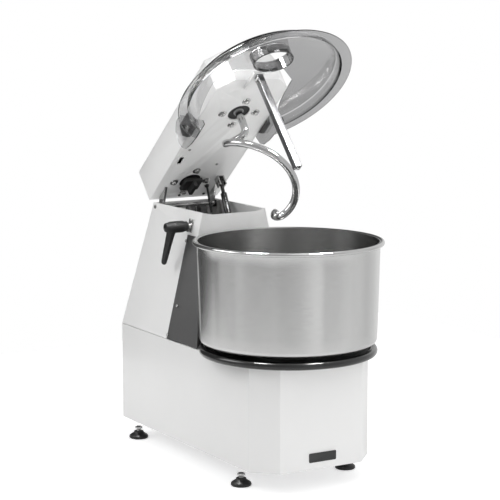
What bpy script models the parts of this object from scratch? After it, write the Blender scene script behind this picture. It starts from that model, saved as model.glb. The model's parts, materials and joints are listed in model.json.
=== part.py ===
"""Spiral dough mixer with a tilting head and a lift-off bowl, built as separate pieces.

The machine stands on z = 0, its front looks along -Y, and all sizes are metres. Every piece
is drawn where it sits with the head closed. Empties on the joint axes then carry the moving
pieces to the stored position: head raised, bowl on its turntable, lid lying on the head.
"""
import bpy
import bmesh
from math import atan, atan2, cos, pi, radians, sin, sqrt
from mathutils import Matrix, Vector

# ------------------------------------------------------------------ driving sizes
GAP = 0.0003                 # clearance between pieces that touch
RUN_GAP = 0.0005             # clearance round turning shafts
LEAN_GAP = 0.0013            # clearance under the edge of a leaning sheet
SHEET = 0.0025               # cabinet and head sheet steel

BOWL_RADIUS = 0.250          # outside of the bowl wall at its top
BOWL_DRAFT = 0.006           # how much narrower the wall is at its foot
BOWL_WALL = 0.002
BOWL_DEPTH = 0.2765          # underside of the bowl to the centre of its rolled rim
BOWL_CORNER = 0.016          # rounding where wall and floor meet
RIM_RADIUS = 0.006           # rolled rim's own radius

BODY_WIDTH = 0.381
BODY_FRONT = -0.170          # y of the base's front wall; the bowl axis is y = 0
BODY_UNDER = 0.055           # z of the base's underside
FOLD_HEIGHT = 0.340          # z of the deck, and of the fold where the column tapers in
NOSE_CHAMFER = 0.060         # base front corners
COLUMN_DEPTH = 0.339
COLUMN_RISE = 0.0475         # column top above the bowl's rim
COLUMN_TAPER = 0.239         # inward lean of the column sides, metre per metre
COLUMN_REAR_LEAN = 0.1227
BOWL_TO_COLUMN = 0.030       # free space between bowl rim and column front
COLUMN_FLANGE = 0.105        # depth of the column front's side flanges
COLUMN_DIP = 0.006           # shallow recess in the column front's top edge

TURNTABLE_GAP = 0.0065       # deck to turntable disc
TURNTABLE_THICK = 0.008
BOWL_LIFT_OFF = 0.034        # deck to the underside of the bowl
BUMPER_WIDTH = 0.018
BUMPER_HEIGHT = 0.020

HEAD_OPEN = radians(40.8)    # stored opening angle of the head
HEAD_WIDTH = 0.232
HEAD_HEIGHT = 0.107
HEAD_GAP = 0.0162            # column top to the closed head's underside
HEAD_PLATE = 0.004
HEAD_NOSE_Y = 0.0047         # y of the closed head's front wall
HEAD_NOSE_CHAMFER = (0.045, 0.042)
HINGE_BELOW_TOP = 0.0118     # hinge axis under the column's top edge
HINGE_BEFORE_REAR = 0.0166   # hinge axis in front of the column's rear top edge
HINGE_PIN_RADIUS = 0.006
HINGE_EYE_RADIUS = 0.0125

SPIRAL_ROD_RADIUS = 0.0105
SPIRAL_RADIUS = 0.071        # centre of the rod from the spiral's axis
SPIRAL_WALL_GAP = 0.004      # spiral to bowl wall
SPIRAL_DEPTH = 0.318         # head underside to the rod's lowest centre
SPIRAL_X = 0.006
HUB_HOLE_RADIUS = 0.033
HUB_BOLT_CIRCLE = 0.054

CLUTCH_X = -0.014
CLUTCH_FROM_HEAD_REAR = 0.086
CLUTCH_SHAFT_RADIUS = 0.0125
BAR_X = -0.014
BAR_SIDE = 0.020
BAR_BEFORE_NOSE = 0.026      # bar centre in front of the head's front wall
BAR_DEPTH = 0.320            # head underside to the bar's lower end

LID_OVERLAP = 0.003          # lid flange beyond the bowl wall
LID_FLANGE = 0.029
LID_THICK = 0.003
LID_BELOW_HEAD = 0.043       # head underside to the flange's top
LID_DOME = 0.060             # dome above the flange
LID_CENTRE_Y = -0.010
LID_PIVOT = (0.2260, -0.003)  # closed y and height from the head's underside
LID_SIDE_GAP = 0.013         # head side to the lid's ears
FEED_HALF = (0.0575, 0.041)  # oval feed opening, half length and half width
FEED_FORWARD = 0.081         # feed opening centre before the lid's centre
FEED_COLLAR = 0.004

SPRING_X = 0.080
SPRING_TOP = (0.097, -0.020)  # from the closed head's rear bottom edge: forward, up
SPRING_FOOT = (0.068, 0.450)  # behind the column front, and height
SPRING_TUBE_RADIUS = 0.0095
SPRING_ROD_RADIUS = 0.004
SWITCH_ROD_X = 0.0545
SWITCH_ROD_FROM_REAR = 0.058
SWITCH_ROD_LENGTH = 0.085
SWITCH_ROD_LEAN = radians(20)

LEVER_Y_BEHIND_FRONT = 0.049
LEVER_BELOW_TOP = 0.042
LEVER_SHAFT_RADIUS = 0.0075
LEVER_HUB = 0.070
LEVER_HUB_RADIUS = 0.0165
LEVER_LENGTH = 0.125
LEVER_LEAN = radians(25)
CLAW_REACH = 0.072           # latch claw's hook from the lever's axis
CLAW_HALF = 0.0035           # half the hook's width

CHAIN_PITCH = 0.0127
CHAIN_WIDTH = 0.008
BOWL_TEETH = 48
DRIVE_TEETH = 12
HEAD_TEETH = 15
SPIRAL_TEETH = 30

FOOT_RADIUS = 0.0285
FOOT_INSET = 0.021           # foot axis from the side wall
FOOT_FRONT_Y = -0.033
FOOT_FROM_REAR = 0.062
STEM_RADIUS = 0.0065
NUT_HEIGHT = 0.006
BASE_PLATE = 0.004           # thickness of the base's bottom plate

FAIRING_DEPTH = 0.059        # fairing's rear edge behind the column front
FAIRING_BELOW_TOP = 0.0678   # fairing's top edge under the column top
FAIRING_CLEAR = 0.012        # fairing's front corner to the bumper ring

TURNTABLE_HUB = 0.030        # radius of the turntable's hub
TURNTABLE_SHAFT = 0.0175
HOUSING_DEPTH = 0.048        # turntable housing under the deck
CHAIN_DROP = 0.066           # deck to the bowl chain's mid plane
PIN_CIRCLE = 0.090           # drive pins on the turntable
PIN_RADIUS = 0.006
BOWL_FOOT_RADIUS = 0.112

MOTOR_X = 0.110
MOTOR_RADIUS = 0.062
GEARBOX_BELOW_DECK = 0.025   # deck's fold to the gearbox's floor
GEARBOX_HEIGHT = 0.070
JAW_DISC_BELOW = 0.0265      # lower jaw disc's top under the column top
JAW_HEIGHT = 0.026
JAW_SPLIT = 0.0075           # half the slot between the lower jaws

PANEL_BEHIND = 0.238         # control panel's centre behind the column front
PANEL_BELOW = 0.150          # and below the column top
GLAND_X = -0.110
GLAND_Z = 0.120
GLAND_RADIUS = 0.009
GLAND_LENGTH = 0.027

HEAD_EDGE = 0.008            # rounding of the head's top edges
HUB_SHAFT = 0.015
HUB_FLANGE = 0.066
HUB_BOLT = 0.0075
BAR_ARM = 0.008              # thickness of the breaker bar's arm
PIVOT_SCREW = 0.005
PIVOT_LIFT = 0.009           # lid pivot above the head's lower edge
SPRING_TUBE_LENGTH = 0.170
SPRING_PIN = 0.004
SPRING_PIN_GAP = 0.0012
SPIRAL_START = radians(120)  # where the rod leaves its shaft
CONTROL_STEM = 0.0055        # radius of the button and knob stems
CONTROL_STAND = 0.006        # cabinet's skin to the underside of the caps
SPIRAL_TURN = radians(295)   # how far the rod winds round its axis
SPIRAL_NECK = 0.070           # head underside to where the rod leaves its shaft
SPIRAL_HOOK = 0.27            # hooked tip's radius as a share of the spiral's

ROUND = 48                   # sides of large turned pieces
MEDIUM = 24
SMALL = 12

# ------------------------------------------------------------------ sizes worked out
HALF_WIDTH = BODY_WIDTH / 2
RIM_CENTRE = BOWL_RADIUS + RIM_RADIUS
RIM_OUTSIDE = RIM_CENTRE + RIM_RADIUS
BOWL_UNDER = FOLD_HEIGHT + BOWL_LIFT_OFF
RIM_HEIGHT = BOWL_UNDER + BOWL_DEPTH
COLUMN_FRONT = RIM_OUTSIDE + BOWL_TO_COLUMN
COLUMN_TOP = RIM_HEIGHT + RIM_RADIUS + COLUMN_RISE
BODY_REAR = COLUMN_FRONT + COLUMN_DEPTH
TAPER_SHEET = SHEET * sqrt(1 + COLUMN_TAPER ** 2)
COLUMN_REAR_TOP = BODY_REAR - COLUMN_REAR_LEAN * (COLUMN_TOP - FOLD_HEIGHT)
HINGE_Y = COLUMN_REAR_TOP - HINGE_BEFORE_REAR
HINGE_Z = COLUMN_TOP - HINGE_BELOW_TOP
HEAD_UNDER = COLUMN_TOP + HEAD_GAP
HEAD_REAR = HINGE_Y + 0.0039
HEAD_HALF = HEAD_WIDTH / 2
BOWL_INSIDE = BOWL_RADIUS - BOWL_WALL - BOWL_DRAFT
SPIRAL_Y = BOWL_INSIDE - SPIRAL_WALL_GAP - SPIRAL_ROD_RADIUS - SPIRAL_RADIUS
CLUTCH_Y = HEAD_REAR - CLUTCH_FROM_HEAD_REAR
BAR_Y = HEAD_NOSE_Y - BAR_BEFORE_NOSE
BUMPER_OUTSIDE = BOWL_RADIUS - 0.0051
TURNTABLE_RADIUS = BUMPER_OUTSIDE - BUMPER_WIDTH - GAP
LID_RADIUS = BOWL_RADIUS + LID_OVERLAP
LID_TOP = HEAD_UNDER - LID_BELOW_HEAD
LEVER_Y = COLUMN_FRONT + LEVER_Y_BEHIND_FRONT
LEVER_Z = COLUMN_TOP - LEVER_BELOW_TOP
CLAW_X = HALF_WIDTH - COLUMN_TAPER * (LEVER_Z - FOLD_HEIGHT) - TAPER_SHEET * 2 - 0.018
CLAW_SLOT_Y = LEVER_Y + 0.038  # middle of the slot the claw passes in the closed head's plate
FAIRING_TOP = COLUMN_TOP - FAIRING_BELOW_TOP
FAIRING_REAR = COLUMN_FRONT + FAIRING_DEPTH
FAIRING_FRONT = sqrt((BUMPER_OUTSIDE + FAIRING_CLEAR) ** 2 - HALF_WIDTH ** 2)
CHAIN_Z = FOLD_HEIGHT - CHAIN_DROP
DISC_LOW = FOLD_HEIGHT + TURNTABLE_GAP
DISC_TOP = DISC_LOW + TURNTABLE_THICK
JAW_DISC_Z = COLUMN_TOP - JAW_DISC_BELOW
GEARBOX_FLOOR = FOLD_HEIGHT - GEARBOX_BELOW_DECK
BEARING_PLATE_Z = JAW_DISC_Z - 0.024
PANEL_Y = COLUMN_FRONT + PANEL_BEHIND
PANEL_Z = COLUMN_TOP - PANEL_BELOW
PIVOT_Y, PIVOT_Z = LID_PIVOT[0], HEAD_UNDER + LID_PIVOT[1]
STUD_Z = PIVOT_Z + PIVOT_LIFT
EAR_X = HEAD_HALF + LID_SIDE_GAP
SWITCH_TOP_Y = HEAD_REAR - SWITCH_ROD_FROM_REAR
SWITCH_FOOT_Y = SWITCH_TOP_Y - SWITCH_ROD_LENGTH * sin(SWITCH_ROD_LEAN)
SWITCH_FOOT_Z = HEAD_UNDER - SWITCH_ROD_LENGTH * cos(SWITCH_ROD_LEAN)
SPRING_PIVOT = (HEAD_REAR - SPRING_TOP[0], HEAD_UNDER + SPRING_TOP[1])
SPRING_ANCHOR = (COLUMN_FRONT + SPRING_FOOT[0], SPRING_FOOT[1])
HUBS = ((CLUTCH_X, CLUTCH_Y), (SPIRAL_X, SPIRAL_Y))
HEAD_CHAIN_Z = HEAD_UNDER + 0.058
MIDDLE_Y = (BODY_REAR + GLAND_LENGTH - RIM_OUTSIDE) / 2

# ------------------------------------------------------------------ tools
FRAMES = {}                  # name of an axis empty -> its place with the head closed


def frame(name, at, parent=None, turn=0.0):
    """Add an empty at a joint axis; turn is its stored rotation about X."""
    empty = bpy.data.objects.new(name, None)
    bpy.context.scene.collection.objects.link(empty)
    origin = Vector(at)
    if parent:
        empty.parent = bpy.data.objects[parent]
        empty.location = origin - FRAMES[parent]
    else:
        empty.location = origin
    empty.rotation_euler.x = turn
    FRAMES[name] = origin
    return empty


def finish(name, bm, material, parent="machine", crease=30):
    """Turn a bmesh drawn in machine coordinates into an object under its axis empty."""
    bmesh.ops.remove_doubles(bm, verts=bm.verts, dist=1e-6)
    bmesh.ops.translate(bm, verts=bm.verts, vec=-FRAMES[parent])
    mesh = bpy.data.meshes.new(name)
    bm.to_mesh(mesh)
    bm.free()
    mesh.shade_smooth()
    mesh.set_sharp_from_angle(angle=radians(crease))
    mesh.materials.append(material)
    piece = bpy.data.objects.new(name, mesh)
    bpy.context.scene.collection.objects.link(piece)
    piece.parent = bpy.data.objects[parent]
    return piece


def paint(name, colour, roughness, metallic=0.0, alpha=1.0):
    """Make a Principled material."""
    material = bpy.data.materials.new(name)
    material.use_nodes = True
    shader = material.node_tree.nodes["Principled BSDF"]
    shader.inputs["Base Color"].default_value = (*colour, 1.0)
    shader.inputs["Roughness"].default_value = roughness
    shader.inputs["Metallic"].default_value = metallic
    shader.inputs["Alpha"].default_value = alpha
    return material


def box(bm, low, high):
    """Add a block between two corners."""
    size = Vector(high) - Vector(low)
    middle = (Vector(high) + Vector(low)) / 2
    place = Matrix.Translation(middle) @ Matrix.Diagonal((*size, 1.0))
    bmesh.ops.create_cube(bm, size=1.0, matrix=place)


def rod(bm, radius, start, end, sides=MEDIUM, end_radius=None):
    """Add a solid cylinder or cone between two points."""
    start = Vector(start)
    along = Vector(end) - start
    place = Matrix.Translation(start + along / 2) @ along.to_track_quat("Z", "Y").to_matrix().to_4x4()
    bmesh.ops.create_cone(bm, cap_ends=True, segments=sides, radius1=radius,
                          radius2=radius if end_radius is None else end_radius,
                          depth=along.length, matrix=place)


def turned(bm, profile, centre=(0, 0), sides=ROUND):
    """Spin a closed profile of (radius, height) about a vertical axis at centre."""
    part = bmesh.new()
    ring = [part.verts.new((radius, 0, height)) for radius, height in profile]
    edges = [part.edges.new((a, b)) for a, b in zip(ring, ring[1:] + ring[:1])
             if a.co.x > 1e-6 or b.co.x > 1e-6]
    bmesh.ops.spin(part, geom=ring + edges, cent=(0, 0, 0), axis=(0, 0, 1),
                   angle=2 * pi, steps=sides, use_duplicate=False)
    bmesh.ops.remove_doubles(part, verts=part.verts, dist=1e-6)
    bmesh.ops.recalc_face_normals(part, faces=part.faces)
    bmesh.ops.translate(part, verts=part.verts, vec=(*centre, 0))
    merge(bm, part)


def merge(bm, part):
    """Copy one bmesh into another and free it."""
    mesh = bpy.data.meshes.new("merge")
    part.to_mesh(mesh)
    part.free()
    bm.from_mesh(mesh)
    bpy.data.meshes.remove(mesh)


def prism(bm, outline, low, high, axis="Z"):
    """Extrude a 2-D outline along an axis; for X the outline is (y, z)."""
    lift = {"Z": lambda a, b, c: (a, b, c), "X": lambda a, b, c: (c, a, b),
            "Y": lambda a, b, c: (a, c, b)}[axis]
    part = bmesh.new()
    face = part.faces.new([part.verts.new(lift(a, b, low)) for a, b in outline])
    grown = bmesh.ops.extrude_face_region(part, geom=[face])
    moved = [item for item in grown["geom"] if isinstance(item, bmesh.types.BMVert)]
    bmesh.ops.translate(part, verts=moved, vec=lift(0, 0, high - low))
    bmesh.ops.recalc_face_normals(part, faces=part.faces)
    merge(bm, part)


def band(bm, inner, outer, low, high):
    """Close the wall between two outlines with equal numbers of points."""
    loops = [[bm.verts.new((x, y, z)) for x, y in outline]
             for outline, z in ((inner, low), (outer, low), (outer, high), (inner, high))]
    count = len(inner)
    for first, second in zip(loops, loops[1:] + loops[:1]):
        for i in range(count):
            j = (i + 1) % count
            bm.faces.new((first[i], second[i], second[j], first[j]))
    bmesh.ops.recalc_face_normals(bm, faces=bm.faces)


def sheet(name, faces, thickness, material, parent="machine"):
    """Make bent sheet metal from outward-facing polygons; it thickens inwards."""
    bm = bmesh.new()
    for points in faces:
        bm.faces.new([bm.verts.new(point) for point in points])
    piece = finish(name, bm, material, parent)
    solid = piece.modifiers.new("Thickness", "SOLIDIFY")
    solid.thickness = thickness
    solid.offset = -1
    solid.use_even_offset = True
    solid.use_quality_normals = True
    return piece


def cut(piece, bm, parent="machine"):
    """Take a cutter drawn in machine coordinates out of a piece."""
    cutter = finish(piece.name + "_cutter", bm, STEEL, parent)
    cutter.hide_render = True
    cutter.display_type = "WIRE"
    boolean = piece.modifiers.new("Cut", "BOOLEAN")
    boolean.operation = "DIFFERENCE"
    boolean.solver = "EXACT"
    boolean.object = cutter


def soften(piece, width, segments=2):
    """Round a piece's sharp edges."""
    bevel = piece.modifiers.new("Edges", "BEVEL")
    bevel.width = width
    bevel.segments = segments
    bevel.limit_method = "ANGLE"


def arc(centre, radius, start, end, steps):
    """Points on an arc between two angles in degrees, both ends included."""
    angles = [radians(start + (end - start) * i / steps) for i in range(steps + 1)]
    return [(centre[0] + radius * cos(a), centre[1] + radius * sin(a)) for a in angles]


def inset(outline, distance):
    """Move each edge of a convex counter-clockwise outline inwards."""
    moved = []
    count = len(outline)
    for i in range(count):
        a, b, c = (Vector(outline[(i + k) % count]) for k in (-1, 0, 1))
        before, after = (b - a).normalized(), (c - b).normalized()
        inward = Vector((-before.y - after.y, before.x + after.x)).normalized()
        depth = distance / Vector((-before.y, before.x)).dot(inward)
        moved.append(tuple(b + inward * depth))
    return moved


def nose_outline(half, front, rear, chamfer_x, chamfer_y):
    """Counter-clockwise plan outline of a box with two chamfered front corners."""
    return [(half, rear), (-half, rear), (-half, front + chamfer_y), (-half + chamfer_x, front),
            (half - chamfer_x, front), (half, front + chamfer_y)]


def column_half(height, inward=0.0):
    """Half-width of the tapered column at a height."""
    return HALF_WIDTH - COLUMN_TAPER * (height - FOLD_HEIGHT) - inward


def column_rear(height):
    """y of the column's leaning rear face."""
    return BODY_REAR - COLUMN_REAR_LEAN * (height - FOLD_HEIGHT)


def taper_point(side, y, z, inward=0.0):
    """Point on the left (-1) or right (1) tapered side."""
    return (side * column_half(z, inward), y, z)


def outward(side, points):
    """Order points so that a side face looks outwards."""
    return points if side < 0 else points[::-1]


# ------------------------------------------------------------------ materials
WHITE = paint("white_paint", (0.86, 0.86, 0.85), 0.35)
GREY = paint("grey_plastic", (0.10, 0.10, 0.11), 0.5)
BLACK = paint("black_plastic", (0.015, 0.015, 0.016), 0.4)
RUBBER = paint("black_rubber", (0.02, 0.02, 0.02), 0.7)
STAINLESS = paint("brushed_stainless", (0.62, 0.61, 0.59), 0.3, 1.0)
STEEL = paint("bright_steel", (0.55, 0.55, 0.56), 0.35, 1.0)
POLISHED = paint("polished_steel", (0.75, 0.75, 0.76), 0.12, 1.0)
SMOKED = paint("smoked_plastic", (0.10, 0.10, 0.11), 0.1, 0.0, 0.4)
CASTING = paint("grey_casting", (0.25, 0.26, 0.28), 0.55)
RED = paint("red_plastic", (0.55, 0.02, 0.02), 0.4)
GREEN = paint("green_plastic", (0.02, 0.30, 0.07), 0.4)

# name, height from the panel's centre, cap radius, cap length, material
CONTROLS = (("start_button", 0.0, 0.011, 0.007, GREEN), ("stop_button", -0.036, 0.015, 0.012, RED),
            ("timer_knob", 0.036, 0.016, 0.016, BLACK))


# ------------------------------------------------------------------ cabinet
def make_base():
    """Base walls, deck, bottom plate and the front badge plate."""
    walls = nose_outline(HALF_WIDTH, BODY_FRONT, BODY_REAR, NOSE_CHAMFER, NOSE_CHAMFER)
    path = walls[1:] + walls[:1]
    faces = [[(*a, BODY_UNDER), (*b, BODY_UNDER), (*b, FOLD_HEIGHT), (*a, FOLD_HEIGHT)]
             for a, b in zip(path, path[1:])]
    sheet("base_shell", faces, SHEET, WHITE)

    inner = inset(walls, SHEET + GAP)
    bm = bmesh.new()
    prism(bm, clip_rear(inner, COLUMN_FRONT - GAP), FOLD_HEIGHT - SHEET, FOLD_HEIGHT)
    deck = finish("base_deck", bm, WHITE)
    hole = bmesh.new()
    rod(hole, TURNTABLE_HUB + 0.003, (0, 0, FOLD_HEIGHT - 0.01), (0, 0, FOLD_HEIGHT + 0.01), ROUND)
    cut(deck, hole)

    bm = bmesh.new()
    prism(bm, clip_rear(inner, BODY_REAR - SHEET - GAP), BODY_UNDER, BODY_UNDER + BASE_PLATE)
    finish("base_plate", bm, STEEL)

    bm = bmesh.new()
    width, height, thick = 0.086, 0.0255, 0.0015
    centre_x, centre_z = 0.0033, 0.0878
    box(bm, (centre_x - width / 2, BODY_FRONT - GAP - thick, centre_z - height / 2),
        (centre_x + width / 2, BODY_FRONT - GAP, centre_z + height / 2))
    finish("badge_plate", bm, BLACK)


def clip_rear(outline, rear):
    """Move the two rear points of a nose outline to another y."""
    return [(outline[0][0], rear), (outline[1][0], rear)] + outline[2:]


def make_column():
    """Tapered side sheets, front plate with side flanges, and rear cover."""
    foot = FOLD_HEIGHT + LEAN_GAP
    fairing_top = FAIRING_TOP + GAP
    for side, name in ((-1, "side_left"), (1, "side_right")):
        outline = [(BODY_REAR - COLUMN_REAR_LEAN * GAP, foot), (FAIRING_REAR + GAP, foot),
                   (FAIRING_REAR + GAP, fairing_top), (COLUMN_FRONT, fairing_top),
                   (COLUMN_FRONT, COLUMN_TOP), (COLUMN_REAR_TOP, COLUMN_TOP)]
        points = [taper_point(side, y, z) for y, z in outline]
        panel = sheet(name, [outward(side, points)], SHEET, WHITE)
        hole = bmesh.new()
        rod(hole, HINGE_PIN_RADIUS + GAP, (side * 0.05, HINGE_Y, HINGE_Z),
            (side * 0.2, HINGE_Y, HINGE_Z))
        if side < 0:
            lever_hole(hole)
        else:
            control_holes(hole)
        cut(panel, hole)

    inward = TAPER_SHEET + GAP
    flange_rear = COLUMN_FRONT + COLUMN_FLANGE
    low, top = foot, COLUMN_TOP - 0.001
    dip = 0.7
    left = [taper_point(-1, y, z, inward) for y, z in
            ((flange_rear, low), (COLUMN_FRONT, low), (COLUMN_FRONT, top), (flange_rear, top))]
    right = [(-x, y, z) for x, y, z in left][::-1]
    half_top = column_half(top, inward)
    dipped = [(side * half_top * dip, COLUMN_FRONT, top - COLUMN_DIP) for side in (1, -1)]
    front = [left[1], right[2], right[1], *dipped, left[2]]
    plate = sheet("column_front", [left, front, right], SHEET, WHITE)
    hole = bmesh.new()
    lever_hole(hole)
    cut(plate, hole)

    half_low = HALF_WIDTH - SHEET - GAP
    corners = [(half_low, BODY_UNDER, BODY_REAR), (half_low, FOLD_HEIGHT, BODY_REAR),
               (column_half(COLUMN_TOP - 0.001, inward), COLUMN_TOP - 0.001,
                column_rear(COLUMN_TOP - 0.001))]
    faces = [[(a[0], a[2], a[1]), (-a[0], a[2], a[1]), (-b[0], b[2], b[1]), (b[0], b[2], b[1])]
             for a, b in zip(corners, corners[1:])]
    rear = sheet("rear_cover", faces, SHEET, WHITE)
    hole = bmesh.new()
    rod(hole, 0.0092, (GLAND_X, BODY_REAR - 0.02, GLAND_Z), (GLAND_X, BODY_REAR + 0.02, GLAND_Z))
    cut(rear, hole)


def lever_hole(bm):
    """Cutter for the lock lever's shaft, through the left side."""
    rod(bm, LEVER_SHAFT_RADIUS + RUN_GAP, (-0.2, LEVER_Y, LEVER_Z), (-0.05, LEVER_Y, LEVER_Z))


def make_fairings():
    """Plastic corner covers between the deck and the column's front corners."""
    low, top = FOLD_HEIGHT + LEAN_GAP * 2, FAIRING_TOP
    inner_y = COLUMN_FRONT - SHEET - 0.004
    for side, name in ((-1, "fairing_left"), (1, "fairing_right")):
        rear_low = taper_point(side, FAIRING_REAR, low)
        front_low = taper_point(side, FAIRING_FRONT, low)
        front_top = taper_point(side, COLUMN_FRONT - 0.004, top)
        rear_top = taper_point(side, FAIRING_REAR, top)
        inner_top = (side * (column_half(top) - 0.014), inner_y, top)
        inner_low = (side * (HALF_WIDTH - 0.085), inner_y, low)
        outer = outward(side, [rear_low, front_low, front_top, rear_top])
        flat = outward(side, [front_low, inner_low, inner_top])
        folded = outward(side, [front_low, inner_top, front_top])
        sheet(name, [outer, flat, folded], 0.002, GREY)


def make_feet():
    """Four levelling feet: a rubber pad on a steel stem with its lock nut."""
    pad_top = 0.021
    dome = arc((0.010, 0.008), FOOT_RADIUS - 0.010, 0, 62, 4)
    profile = [(0, 0), (FOOT_RADIUS - 0.002, 0), (FOOT_RADIUS, 0.003), *dome, (0.013, pad_top),
               (STEM_RADIUS, pad_top), (STEM_RADIUS, BODY_UNDER - GAP), (0, BODY_UNDER - GAP)]
    for x, across in ((-1, "left"), (1, "right")):
        for y, along in ((FOOT_FRONT_Y, "front"), (BODY_REAR - FOOT_FROM_REAR, "rear")):
            spot = (x * (HALF_WIDTH - FOOT_INSET), y)
            bm = bmesh.new()
            turned(bm, profile, spot, 16)
            foot = finish(f"foot_{along}_{across}", bm, RUBBER)
            nut = bmesh.new()
            rod(nut, STEM_RADIUS * 1.75, (*spot, BODY_UNDER - GAP - NUT_HEIGHT), (*spot, BODY_UNDER - GAP), 6)
            join(foot, nut)


# ------------------------------------------------------------------ bowl and its drive
def make_turntable():
    """Turntable disc with shaft, its drive pins, the rubber bumper and the large sprocket."""
    bm = bmesh.new()
    shaft_low = CHAIN_Z - 0.012
    turned(bm, [(0, shaft_low), (TURNTABLE_SHAFT, shaft_low), (TURNTABLE_SHAFT, FOLD_HEIGHT + 0.003),
                (TURNTABLE_HUB, FOLD_HEIGHT + 0.003), (TURNTABLE_HUB + 0.015, DISC_LOW),
                (TURNTABLE_RADIUS, DISC_LOW), (TURNTABLE_RADIUS, DISC_TOP), (0, DISC_TOP)])
    disc = finish("turntable", bm, CASTING, "turntable_axis")
    pins = bmesh.new()
    for spot in pin_spots():
        rod(pins, PIN_RADIUS, (*spot, DISC_LOW + 0.001), (*spot, BOWL_UNDER - 0.003), SMALL)
    join(disc, pins, "turntable_axis")

    bm = bmesh.new()
    inside, outside = TURNTABLE_RADIUS + GAP, BUMPER_OUTSIDE
    low = FOLD_HEIGHT + 0.0032
    high = low + BUMPER_HEIGHT
    curve = 0.008
    profile = [(inside, low), *arc((outside - curve, low + curve), curve, -90, 0, 2),
               *arc((outside - curve, high - curve), curve, 0, 90, 2), (inside, high)]
    turned(bm, profile)
    finish("bumper_ring", bm, BLACK, "turntable_axis")

    bm = bmesh.new()
    sprocket(bm, (0, 0), BOWL_TEETH, CHAIN_Z, TURNTABLE_SHAFT + GAP)
    finish("bowl_sprocket", bm, STEEL, "turntable_axis")


def pin_spots():
    """Places of the three drive pins."""
    return [(PIN_CIRCLE * cos(k * 2 * pi / 3), PIN_CIRCLE * sin(k * 2 * pi / 3)) for k in range(3)]


def sprocket(bm, centre, teeth, height, bore, turn=0.0):
    """Toothed chain wheel with a bored hub, as one closed body."""
    pitch = chain_radius(teeth)
    outline = []
    for k in range(teeth):
        for radius, part in ((pitch - 0.0035, -0.3), (pitch - 0.0035, 0.05), (pitch + 0.003, 0.375)):
            angle = 2 * pi * (k + part) / teeth + turn
            outline.append((centre[0] + radius * cos(angle), centre[1] + radius * sin(angle)))
    hole = [(centre[0] + bore * cos(2 * pi * k / len(outline) + turn),
             centre[1] + bore * sin(2 * pi * k / len(outline) + turn)) for k in range(len(outline))]
    band(bm, hole, outline, height - 0.0035, height + 0.0035)


def chain_radius(teeth):
    """Pitch radius of a chain wheel."""
    return CHAIN_PITCH / (2 * sin(pi / teeth))


def chain_loop(first, first_radius, second, second_radius, grow, steps=16):
    """Counter-clockwise outline of a loop round two wheels, grown by a distance."""
    ax, ay = first
    bx, by = second
    heading = atan2(by - ay, bx - ax)
    lean = atan2(first_radius - second_radius,
                 sqrt((bx - ax) ** 2 + (by - ay) ** 2 - (first_radius - second_radius) ** 2))
    quarter = pi / 2 - lean
    loop = []
    for k in range(steps + 1):
        angle = heading - quarter + 2 * quarter * k / steps
        radius = second_radius + grow
        loop.append((bx + radius * cos(angle), by + radius * sin(angle)))
    for k in range(steps + 1):
        angle = heading + quarter + 2 * (pi - quarter) * k / steps
        radius = first_radius + grow
        loop.append((ax + radius * cos(angle), ay + radius * sin(angle)))
    return loop


def make_chain(name, first, first_teeth, second, second_teeth, height, parent="machine"):
    """Roller chain as one closed loop that runs clear of the tooth tips."""
    radii = chain_radius(first_teeth), chain_radius(second_teeth)
    inner = chain_loop(first, radii[0], second, radii[1], 0.0038)
    outer = chain_loop(first, radii[0], second, radii[1], 0.0038 + CHAIN_WIDTH)
    bm = bmesh.new()
    band(bm, inner, outer, height - 0.005, height + 0.005)
    finish(name, bm, STEEL, parent)


def make_bowl():
    """Bowl with rolled rim, and the foot under it with sockets for the drive pins."""
    bm = bmesh.new()
    under, floor = BOWL_UNDER, BOWL_UNDER + BOWL_WALL
    foot = BOWL_RADIUS - BOWL_DRAFT
    centre = (foot - BOWL_CORNER, under + BOWL_CORNER)
    outer = [(0, under), *arc(centre, BOWL_CORNER, -90, 0, 5)]
    rim = arc((RIM_CENTRE, RIM_HEIGHT), RIM_RADIUS, -150, 150, 8)
    inner = arc(centre, BOWL_CORNER - BOWL_WALL, 0, -90, 5)
    inner_top = (BOWL_RADIUS - BOWL_WALL, RIM_HEIGHT + RIM_RADIUS * 0.5)
    turned(bm, [*outer, (BOWL_RADIUS, RIM_HEIGHT - RIM_RADIUS * 0.7), *rim[:-1], inner_top,
                *inner, (0, floor)])
    finish("bowl", bm, STAINLESS, "bowl_axis")

    bm = bmesh.new()
    plate_low = DISC_TOP + 0.004
    radius = BOWL_FOOT_RADIUS
    turned(bm, [(0, plate_low), (radius - 0.007, plate_low), (radius - 0.007, DISC_TOP + GAP),
                (radius, DISC_TOP + GAP), (radius, BOWL_UNDER - GAP), (0, BOWL_UNDER - GAP)])
    foot_ring = finish("bowl_foot", bm, STEEL, "bowl_axis")
    holes = bmesh.new()
    for spot in pin_spots():
        rod(holes, PIN_RADIUS + RUN_GAP, (*spot, plate_low - 0.01), (*spot, BOWL_UNDER - 0.0025), SMALL)
    cut(foot_ring, holes, "bowl_axis")


def make_turntable_housing():
    """Bearing housing bolted under the deck."""
    bm = bmesh.new()
    top = FOLD_HEIGHT - SHEET - GAP
    low = FOLD_HEIGHT - HOUSING_DEPTH
    inside = TURNTABLE_SHAFT + RUN_GAP
    turned(bm, [(inside, low), (0.045, low), (0.045, top - 0.009), (0.075, top - 0.009), (0.075, top),
                (inside, top)], sides=MEDIUM)
    finish("turntable_housing", bm, CASTING)


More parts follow.
